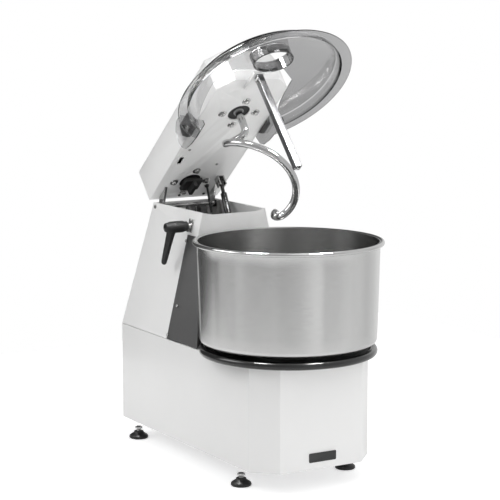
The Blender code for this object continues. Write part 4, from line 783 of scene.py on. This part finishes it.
# ---------- bowl and turntable
def build_bowl():
    """Brushed bowl with a rolled, polished rim."""
    sides, wall = setting("bowl").sides, setting("bowl").wall
    low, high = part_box("bowl")
    rim_radius = 0.006
    rim_centre = high.x - rim_radius
    rim_height = high.z - rim_radius
    top, foot, corner = rim_centre - rim_radius, rim_centre - rim_radius * 2, 0.016
    centre = (foot - corner, low.z + corner)
    outer = [(0.0006, low.z), (foot * 0.5, low.z), *arc(centre, corner, -90, 0, 8)]
    steps = 8
    rise = rim_height - 0.005 - centre[1]
    wall_out = [(foot + (top - foot) * k / steps, centre[1] + rise * k / steps)
                for k in range(1, steps + 1)]
    rim = arc((rim_centre, rim_height), rim_radius, -150, 140, 14)
    wall_in = [(radius - wall, height) for radius, height in reversed(wall_out)]
    inner = arc(centre, corner - wall, 0, -90, 8)
    rings = [*outer, *wall_out, *rim, (top - wall, rim_height + 0.0035), *wall_in, *inner,
             (foot * 0.5, low.z + wall), (0.0006, low.z + wall)]
    bowl = turned("brushed_bowl", rings, sides, centre=(0, BOWL_Y, 0))
    settle(bowl, "bowl_steel", "bowl", ("bowl",), 40)
    bowl.data.materials.append(finish("rim_steel"))
    # Third slot: the darker copy of the bowl steel, painted shade for the inside of the bowl
    bowl.data.materials.append(finish("bowl_inside"))
    for face in bowl.data.polygons:
        outward = face.normal.xy.dot(face.center.xy - Vector((0, BOWL_Y)))
        if face.center.z > rim_height - rim_radius * 0.9 and outward > 0 or face.center.z > rim_height:
            face.material_index = 1
        # Inner walls and floor take the painted shade
        elif outward < 0 or face.normal.z > 0.5:
            face.material_index = 2


def build_turntable():
    """Glossy rubber ring, disc, foot ring and pins."""
    low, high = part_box("bumper_ring")
    outside = high.x
    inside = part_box("turntable")[1].x + 0.0003
    curve = 0.0085
    shoulder = outside - curve
    step = 0.0006
    rings = [(inside, low.z), (shoulder, low.z), *arc((shoulder, low.z + curve), curve, -80, 0, 6),
             *arc((shoulder, high.z - curve), curve, 4, 84, 6), (shoulder - 0.004, high.z),
             (shoulder - 0.004 - step, high.z - step), (inside, high.z - step)]
    ring = turned("rubber_ring", rings, 144, closed=True, centre=(0, BOWL_Y, 0))
    settle(ring, "black_gloss", "turntable", ("bumper_ring",))
    dressed("turntable", "turntable_disc", "turntable_black", 0.0006, 1)
    dressed("bowl_foot", "bowl_foot_ring", "machined_steel", 0.0006, 1)


# ---------- column fittings
def build_lever():
    """Lock lever with a capped hub, its shaft and its flange."""
    low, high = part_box("lock_lever")
    pivot = Vector(JOINTS["lever_turn"]["pos_m"])
    length = high.x - low.x
    hub_rings = [(0.0078, 0.026), (0.0078, 0.0), (0.0128, 0.0), (0.0142, 0.0014), (0.0142, 0.0095),
                 (0.0150, 0.0110), (0.0160, 0.0125), (0.0166, 0.0180), (0.0168, 0.0350),
                 (0.0166, 0.0520), (0.0158, 0.0575), (0.0143, 0.0600), (0.0138, 0.0640),
                 (0.0134, length - 0.003), (0.0122, length - 0.0009), (0.0108, length),
                 (0.0088, length), (0.0082, length - 0.0008), (0.0078, length - 0.003),
                 (0.0003, length - 0.003)]
    hub = turned("lever_hub", hub_rings, 40)
    turn = Matrix.Translation((high.x, pivot.y, pivot.z)) @ Matrix.Rotation(-pi / 2, 4, "Y")
    moved(hub, turn)
    grip_length = 0.125
    grip_rings = [(0.0003, 0.002), (0.0150, 0.002), (0.0146, 0.010), (0.0132, 0.019), (0.0124, 0.030),
                  (0.0113, 0.055), (0.0101, 0.085), (0.0090, 0.110), *[
                      (0.0086 * cos(radians(a)), 0.1165 + 0.0085 * sin(radians(a)))
                      for a in (5, 25, 45, 62, 76)], (0.0003, grip_length)]
    grip = turned("lever_grip", grip_rings, 36)
    lean = radians(25)
    flat = Matrix.Diagonal((0.92, 1.0, 1.0, 1.0))
    start = Matrix.Translation((low.x + 0.022, pivot.y, pivot.z))
    moved(grip, start @ Matrix.Rotation(pi + lean, 4, "X") @ flat)
    lever = joined([hub, grip], "clamping_lever")
    settle(lever, "black_handle", "lever", ("lock_lever",), 45)
    dressed("lever_shaft", "lever_shaft_and_claw", "fitting_steel", 0.0005, 1)
    dressed("lever_flange", "lever_flange_plate", "fitting_steel", 0.0006, 2)
    screw = pan_screw("flange_screw", 0.0032)
    for number, rise in enumerate((-0.0145, 0.0145), 1):
        spot = side_place(-1, pivot.y, pivot.z + rise, 0.0033)
        fastened(screw, f"flange_screw_{number}", spot)
    bpy.data.objects.remove(screw)


def build_clutch():
    """Both clutch halves with eased edges."""
    dressed("lower_clutch", "lower_jaws", "black_soft", 0.0012, 2)
    dressed("upper_clutch", "upper_jaws", "black_soft", 0.0012, 2)
    dressed("clutch_bearing_plate", "bearing_bridge", "machined_steel", 0.0008, 1)


def build_hinge():
    """Hinge pin, blocks and eyes with eased edges."""
    for source, name in (("hinge_pin", "hinge_pin_turned"), ("hinge_block_left", "hinge_block_l"),
                         ("hinge_block_right", "hinge_block_r"), ("hinge_eye_left", "hinge_eye_l"),
                         ("hinge_eye_right", "hinge_eye_r")):
        dressed(source, name, "fitting_steel", 0.0006, 1)


# ---------- head
def build_head():
    """Painted head cover and its plate."""
    dressed("head_cover", "head_shell", "white_coat", 0.0011, 3)
    dressed("head_plate", "head_floor_sheet", "white_coat", 0.0007, 2)


def build_head_fasteners():
    """Bolts round both hubs, the small screws and the switch rod's ball boot."""
    bolt = hex_bolt("hub_bolt", 0.0074, 0.0060)
    under = Matrix.Rotation(pi, 4, "X")
    circle = 0.054
    for hub, where in ((SPIRAL_HUB, "spiral"), (CLUTCH_HUB, "clutch")):
        for k in range(4):
            angle = k * pi / 2
            spot = Vector((hub.x + circle * cos(angle), hub.y + circle * sin(angle), HEAD_FLOOR))
            place = RAISE @ Matrix.Translation(spot) @ under @ Matrix.Rotation(k * 0.4, 4, "Z")
            fastened(bolt, f"{where}_hub_bolt_{k + 1}", place, "head")
    bpy.data.objects.remove(bolt)
    screw = pan_screw("plate_screw", 0.0042)
    rear = HEAD_HIGH.y
    spots = ((0.041, rear - 0.168), (-0.083, rear - 0.2485), (-0.022, rear - 0.016),
             (0.061, rear - 0.016))
    for number, (x, y) in enumerate(spots, 1):
        place = RAISE @ Matrix.Translation((x, y, HEAD_FLOOR)) @ under
        coat = "fitting_steel" if number < 3 else "black_soft"
        fastened(screw, f"plate_screw_{number}", place, "head", coat)
    bpy.data.objects.remove(screw)
    ball, bore, lean = 0.0074, 0.0038, radians(20)
    rings = [*arc((0, 0), ball, -58, 58, 8), (bore, 0.0063), (bore, -0.0063)]
    boot = turned("rod_boot", rings, 32, closed=True)
    moved(boot, Matrix.Translation(JOINTS["switch_rod_turn"]["pos_m"]) @ Matrix.Rotation(-lean, 4, "X"))
    settle(boot, "black_soft", "switch_rod")


def spiral_route():
    """Middle line of the spiral: down from its shaft, round its axis and in at the hooked tip."""
    tools = setting("tools")
    x, y = SPIRAL_HUB.x, SPIRAL_HUB.y
    start, wind, hook_turn = radians(120), radians(295), radians(150)
    depth, radius = tools.depth, tools.radius
    neck = 0.070
    points = [Vector((x, y, HEAD_FLOOR + 0.006)), Vector((x, y, HEAD_FLOOR - neck * 0.6))]
    steps = 34
    for k in range(steps + 1):
        share = k / steps
        angle = start + wind * share
        swell = min(1.0, share / 0.14)
        reach = radius * (swell * (2 - swell)) ** 0.9
        drop = neck + (depth - neck) * (0.25 * share + 0.375 * (1 - cos(pi * share)))
        points.append(Vector((x + reach * cos(angle), y + reach * sin(angle), HEAD_FLOOR - drop)))
    hook = radius * 0.27
    inward = radius - hook
    for k in range(1, 6):
        turn = angle + hook_turn * k / 5
        points.append(Vector((x + inward * cos(angle) + hook * cos(turn),
                              y + inward * sin(angle) + hook * sin(turn), HEAD_FLOOR - depth)))
    return points


def build_spiral():
    """Polished round-bar spiral with a rounded tip, and its shaft in the hub."""
    points = spiral_route()
    curve = bpy.data.curves.new("polished_spiral", "CURVE")
    curve.dimensions = "3D"
    line = curve.splines.new("NURBS")
    line.points.add(len(points) - 1)
    for point, place in zip(line.points, points):
        point.co = (*place, 1)
    line.use_endpoint_u = True
    line.order_u = 4
    line.resolution_u = 6
    curve.bevel_depth = setting("tools").rod
    curve.bevel_resolution = 8
    curve.use_fill_caps = True
    helper = bpy.data.objects.new("polished_spiral", curve)
    bpy.context.scene.collection.objects.link(helper)
    only(helper)
    bpy.ops.object.convert(target="MESH")
    spiral = bpy.context.active_object
    opened(spiral)
    bpy.ops.mesh.remove_doubles(threshold=0.00002)
    tip = points[-1]
    pick(spiral, lambda f: len(f.verts) > 8 and (f.calc_center_median() - tip).length < 0.01)
    bpy.ops.mesh.bevel(offset=0.0045, segments=4, affect="EDGES")
    bpy.ops.object.mode_set(mode="OBJECT")
    moved(spiral, RAISE)
    settle(spiral, "spiral_steel", "spiral", ("spiral",), 50)
    top = lowered("spiral")[1].z
    rings = [(0.0004, 0.0046), (0.0108, 0.0046), (0.0128, 0.0010), (0.0142, 0.0010), (0.0150, 0.0022),
             (0.0150, top - HEAD_FLOOR), (0.0004, top - HEAD_FLOOR)]
    shaft = turned("spiral_shaft", rings, 40)
    moved(shaft, RAISE @ Matrix.Translation((SPIRAL_HUB.x, SPIRAL_HUB.y, HEAD_FLOOR)))
    settle(shaft, "machined_steel", "spiral")


def build_breaker_bar():
    """Square breaker bar, its arm and the bolt through them."""
    dressed("breaker_bar", "square_bar", "bar_steel", 0.0016, 3)
    dressed("bar_arm", "bar_bracket", "white_coat", 0.0022, 3)
    low, high = lowered("breaker_bar")
    y = (low.y + high.y) / 2
    bolt = hex_bolt("bar_bolt", 0.0046, 0.0036)
    place = RAISE @ Matrix.Translation((low.x, y, high.z - 0.016)) @ Matrix.Rotation(-pi / 2, 4, "Y")
    moved(bolt, place)
    settle(bolt, "fitting_steel", "head")


# ---------- lid
def build_lid():
    """Smoked lid: flange, dome, cut-out for the nose, ears and the feed opening."""
    lid_settings = setting("lid")
    thick, dome = lid_settings.thick, lid_settings.dome
    low, high = lowered("lid")
    radius = high.x
    flange_top = low.z + thick
    top = flange_top + dome
    centre_y = low.y + radius
    inner = radius - lid_settings.flange
    rise = [(inner * cos(a) ** 0.42, flange_top + dome * sin(a) ** 0.86)
            for a in [radians(90 * k / 22) for k in range(22)]]
    under = [(max(r - thick, 0.0006) if k < 6 else r, z - thick) for k, (r, z) in enumerate(rise)]
    rings = [(0.0006, top), *reversed(rise), (inner + 0.002, flange_top), (radius - 0.001, flange_top),
             (radius, flange_top - 0.001), (radius, flange_top - thick + 0.001),
             (radius - 0.001, flange_top - thick), (inner - thick + 0.002, flange_top - thick), *under[1:],
             (0.0006, top - thick)]
    lid = turned("smoked_lid", rings, 128, centre=(0, centre_y, 0))

    nose_gap, side, past = 0.026, 0.1275, 0.5
    nose_y = HEAD_LOW.y - nose_gap
    across, along = 0.051, 0.050
    outline = [(side, past), (-side, past), (-side, nose_y + along), (-side + across, nose_y),
               (side - across, nose_y), (side, nose_y + along)]
    cutter = plate_of("nose_cutter", outline, 0.25, "Z")
    moved(cutter, Matrix.Translation((0, 0, flange_top - 0.05)))
    combined(lid, cutter, "DIFFERENCE")

    y, z = LID_PIVOT.y, LID_PIVOT.z - 0.009
    ear = [(y - 0.085, flange_top - thick), (y - 0.030, flange_top - thick), (y + 0.012, z - 0.039),
           (y + 0.046, z - 0.030), (y + 0.060, z - 0.016), (y + 0.066, z + 0.008), (y + 0.063, z + 0.040),
           (y + 0.040, z + 0.062), (y + 0.005, z + 0.060), (y - 0.030, z + 0.026), (y - 0.060, z - 0.006),
           (y - 0.085, z - 0.028)]
    for sign in (-1, 1):
        plate = plate_of("ear", ear, thick, "X")
        moved(plate, Matrix.Translation((min(sign * side, sign * (side + thick)), 0, 0)))
        combined(lid, plate, "UNION")
    hole = turned("pivot_cutter", [(0.0004, -0.2), (0.0055, -0.2), (0.0055, 0.2), (0.0004, 0.2)], 24)
    moved(hole, Matrix.Translation(LID_PIVOT) @ Matrix.Rotation(pi / 2, 4, "Y"))
    combined(lid, hole, "DIFFERENCE")

    feed_low, feed_high = lowered("feed_collar")
    half_x, half_y = (feed_high.x - feed_low.x) / 2, (feed_high.y - feed_low.y) / 2
    feed_y = (feed_low.y + feed_high.y) / 2
    opening = turned("feed_cutter", [(0.001, -0.1), (1, -0.1), (1, 0.1), (0.001, 0.1)], 64)
    moved(opening, Matrix.Translation((0, feed_y, flange_top + 0.05))
          @ Matrix.Diagonal((half_x + 0.0003, half_y + 0.0003, 1, 1)))
    combined(lid, opening, "DIFFERENCE")
    moved(lid, RAISE)
    settle(lid, "smoked_lid", "lid", ("lid",), 32)

    wall = 0.004
    rim = 0.0016
    height = feed_high.z - feed_low.z
    outer, inside = half_x, half_x - wall
    rings = [(outer - rim, 0), (outer, rim), (outer, height - rim), (outer - rim, height),
             (inside + rim, height), (inside, height - rim), (inside, rim), (inside + rim, 0)]
    collar = turned("feed_collar_ring", rings, 72, closed=True)
    moved(collar, RAISE @ Matrix.Translation((0, feed_y, feed_low.z))
          @ Matrix.Diagonal((1, half_y / half_x, 1, 1)))
    settle(collar, "smoked_collar", "lid", ("feed_collar",))


def build_lid_hinges():
    """Hinge plates with their studs, and a capped nut on each."""
    nut = hex_bolt("stud_nut", 0.0058, 0.0040)
    outside = 0.1307
    for side, where in ((-1, "left"), (1, "right")):
        dressed("lid_hinge_" + where, where + "_hinge_plate", "hinge_grey", 0.0010, 2)
        place = RAISE @ Matrix.Translation((side * outside, LID_PIVOT.y, LID_PIVOT.z)) \
            @ Matrix.Rotation(side * pi / 2, 4, "Y")
        fastened(nut, where + "_stud_nut", place, "head")
    bpy.data.objects.remove(nut)


# ---------- gas spring and rod
def build_gas_spring():
    """Gas spring tube with its end fitting, polished rod, brackets, and the switch rod."""
    dressed("gas_tube", "spring_tube", "black_gloss", 0.0007, 2)
    dressed("gas_rod", "spring_rod", "rim_steel", 0.0004, 1)
    dressed("spring_bracket_head", "upper_spring_fork", "fitting_steel", 0.0008, 2)
    dressed("spring_bracket_column", "lower_spring_fork", "fitting_steel", 0.0008, 2)
    dressed("switch_rod", "safety_switch_rod", "black_soft", 0.0008, 2)


def dress_inner_works():
    """Finishes of the pieces inside the cabinet and head, which keep their shapes."""
    coats = {
        "base_plate": "machined_steel", "bowl_sprocket": "machined_steel",
        "drive_sprocket": "machined_steel", "bowl_chain": "fitting_steel",
        "clutch_shaft": "machined_steel", "head_chain": "fitting_steel",
        "spiral_sprocket": "machined_steel", "turntable_housing": "casting_grey",
        "motor": "casting_grey", "gearbox": "casting_grey", "clutch_housing": "hub_black",
        "spiral_housing": "hub_black", "electrical_box": "hinge_grey",
    }
    for name, coat in coats.items():
        for place in NODES[name].material_slots:
            place.material = finish(coat)


# ---------- stage
def build_stage():
    """Pale floor, soft light and the camera."""
    stage = setting("stage")
    fresh()
    bpy.ops.mesh.primitive_grid_add(x_subdivisions=4, y_subdivisions=4, size=3.4, location=(0, 0, 0))
    floor = bpy.context.active_object
    floor.name = "studio_floor"
    material, tree, shader = shaded("floor_paint", Roughness=0.6,
                                    Emission_Color=(1, 1, 1, 1))
    grain = placed(tree, "grain", Grain_Scale=40.0, Patch_Scale=2.0, Depth=0.0)
    tree.links.new(tinted(tree, grain.outputs["Patches"], (0.93, 0.93, 0.93), (0.95, 0.95, 0.95)),
                   shader.inputs["Base Color"])
    view = node(tree, "ShaderNodeLightPath")
    glow = node(tree, "ShaderNodeMath", operation="MULTIPLY_ADD")
    glow.inputs[1].default_value = stage.floor_glow
    glow.inputs[2].default_value = stage.floor_fill
    link(view, "Is Camera Ray", glow, 0)
    link(glow, 0, shader, "Emission Strength")
    floor.data.materials.append(material)

    world = bpy.data.worlds.new("studio")
    bpy.context.scene.world = world
    world.use_nodes = True
    tree = world.node_tree
    tree.nodes.clear()
    place = node(tree, "ShaderNodeTexCoord")
    parts = node(tree, "ShaderNodeSeparateXYZ")
    angle = node(tree, "ShaderNodeMath", operation="ARCTAN2")
    share = node(tree, "ShaderNodeMapRange", From_Min=-pi, From_Max=pi)
    ramp = node(tree, "ShaderNodeValToRGB")
    # share of a turn round the machine, brightness there
    stops = ((0.0, 0.86), (0.05, 0.78), (0.14, 0.76), (0.20, 0.95), (0.255, 1.32), (0.278, 1.32),
             (0.288, 0.98), (0.34, 1.02), (0.38, 1.18), (0.44, 1.22), (0.486, 1.05), (0.58, 1.30),
             (0.64, 1.15), (0.68, 0.13), (0.77, 0.15), (0.84, 0.28), (0.885, 0.36), (0.895, 0.72),
             (0.96, 0.76), (0.975, 0.96))
    while len(ramp.color_ramp.elements) < len(stops):
        ramp.color_ramp.elements.new(0.5)
    for element, (position, level) in zip(ramp.color_ramp.elements, stops):
        element.position = position
        element.color = (level, level, level, 1)
    around = node(tree, "ShaderNodeBackground", Strength=stage.around)
    seen = node(tree, "ShaderNodeBackground", Color=(1, 1, 1, 1), Strength=1.0)
    path = node(tree, "ShaderNodeLightPath")
    mix = node(tree, "ShaderNodeMixShader")
    out = node(tree, "ShaderNodeOutputWorld")
    link(place, "Generated", parts, "Vector")
    link(parts, "Y", angle, 0)
    link(parts, "X", angle, 1)
    link(angle, 0, share, "Value")
    link(share, "Result", ramp, "Fac")
    link(ramp, "Color", around, "Color")
    link(path, "Is Camera Ray", mix, 0)
    link(around, 0, mix, 1)
    link(seen, 0, mix, 2)
    link(mix, 0, out, "Surface")

    # name, place, aim, size, power, lights surfaces, shows in gloss
    lights = (("left_softbox", (-2.1, 0.9, 1.9), (0, 0.2, 1.0), 1.4, stage.key * 2.6, True, True),
              ("top_softbox", (0.1, -0.3, 3.0), (0, 0, 0.6), 2.2, stage.key, True, True),
              ("low_fill", (0.7, -2.5, 0.30), (0, 0.2, 1.0), 1.2, stage.key * 1.5, True, False),
              ("bowl_glint_left", (0.30, -0.71, 1.75), (0.02, 0.04, 0.5), 0.30, stage.key * 4.0,
               False, True),
              ("bowl_glint_right", (-0.59, -0.16, 1.75), (0.20, -0.07, 0.5), 0.30, stage.key * 3.0,
               False, True))
    for name, spot, aim, size, power, diffuse, glossy in lights:
        bpy.ops.object.light_add(type="AREA", location=spot)
        lamp = bpy.context.active_object
        lamp.name = name
        lamp.data.size = size
        lamp.data.energy = power
        lamp.visible_diffuse = diffuse
        lamp.visible_glossy = glossy
        lamp.rotation_euler = (Vector(aim) - Vector(spot)).to_track_quat("-Z", "Y").to_euler()

    bpy.ops.object.camera_add(location=CAMERA_PLACE)
    camera = bpy.context.active_object
    camera.data.lens = stage.lens
    camera.data.sensor_width = 36
    camera.rotation_euler = (CAMERA_AIM - camera.location).to_track_quat("-Z", "Y").to_euler()
    bpy.context.scene.camera = camera
    bpy.context.scene.view_settings.view_transform = "Standard"


# ---------- operators and panel
def operator(name, label, words, *steps):
    """Operator class that runs the given building steps."""
    def execute(self, context):
        for step in steps:
            step()
        return {"FINISHED"}
    return type("MIXER_OT_" + name, (bpy.types.Operator,), {
        "bl_idname": "mixer." + name, "bl_label": label, "bl_options": {"REGISTER", "UNDO"},
        "__doc__": words, "execute": execute})


OPERATORS = [
    operator("stage", "Stage", "Add the floor, lights and camera", build_stage),
    operator("cabinet", "Cabinet", "Add the painted sheets of base and column", build_cabinet),
    operator("badge", "Badge", "Add the blank badge plate", build_badge),
    operator("fairings", "Fairings", "Add the corner covers and their screws", build_fairings),
    operator("feet", "Feet", "Add the levelling feet", build_feet),
    operator("controls", "Controls", "Add the control panel and cable gland", build_controls),
    operator("turntable", "Turntable", "Add the turntable and its rubber ring", build_turntable),
    operator("bowl", "Bowl", "Add the brushed bowl", build_bowl),
    operator("lever", "Lock lever", "Add the lock lever and its flange", build_lever),
    operator("clutch", "Clutch", "Add both clutch halves", build_clutch),
    operator("hinge", "Hinge", "Add the head's hinge", build_hinge),
    operator("head", "Head", "Add the head cover, plate and fasteners", build_head,
             build_head_fasteners),
    operator("spiral", "Spiral", "Add the polished spiral", build_spiral),
    operator("breaker_bar", "Breaker bar", "Add the breaker bar and its arm", build_breaker_bar),
    operator("lid", "Lid", "Add the smoked lid and its hinge plates", build_lid, build_lid_hinges),
    operator("gas_spring", "Gas spring", "Add the gas spring and the switch rod", build_gas_spring),
    operator("inner_works", "Inner works", "Give the inner pieces their finishes",
             dress_inner_works),
]


class MIXER_PT_panel(bpy.types.Panel):
    """Lists the mixer's settings and building steps."""
    bl_label = "Spiral Dough Mixer"
    bl_space_type = "VIEW_3D"
    bl_region_type = "UI"
    bl_category = "Mixer"

    def draw(self, context):
        for group in SETTINGS:
            values = setting(group)
            for label in values.__annotations__:
                self.layout.prop(values, label)
        for kind in OPERATORS:
            self.layout.operator(kind.bl_idname)


def register():
    """Register the settings, operators and panel."""
    for group, kind in SETTINGS.items():
        bpy.utils.register_class(kind)
        setattr(bpy.types.Scene, "mixer_" + group, bpy.props.PointerProperty(type=kind))
    for kind in (*OPERATORS, MIXER_PT_panel):
        bpy.utils.register_class(kind)


def unregister():
    """Take them away again."""
    for kind in (MIXER_PT_panel, *reversed(OPERATORS)):
        bpy.utils.unregister_class(kind)
    for group, kind in SETTINGS.items():
        delattr(bpy.types.Scene, "mixer_" + group)
        bpy.utils.unregister_class(kind)


def main():
    """Build the whole machine and note its size."""
    register()
    for kind in OPERATORS:
        step = kind.bl_idname.split(".")[1]
        getattr(bpy.ops.mixer, step)()
    fresh()


if __name__ == "__main__":
    main()
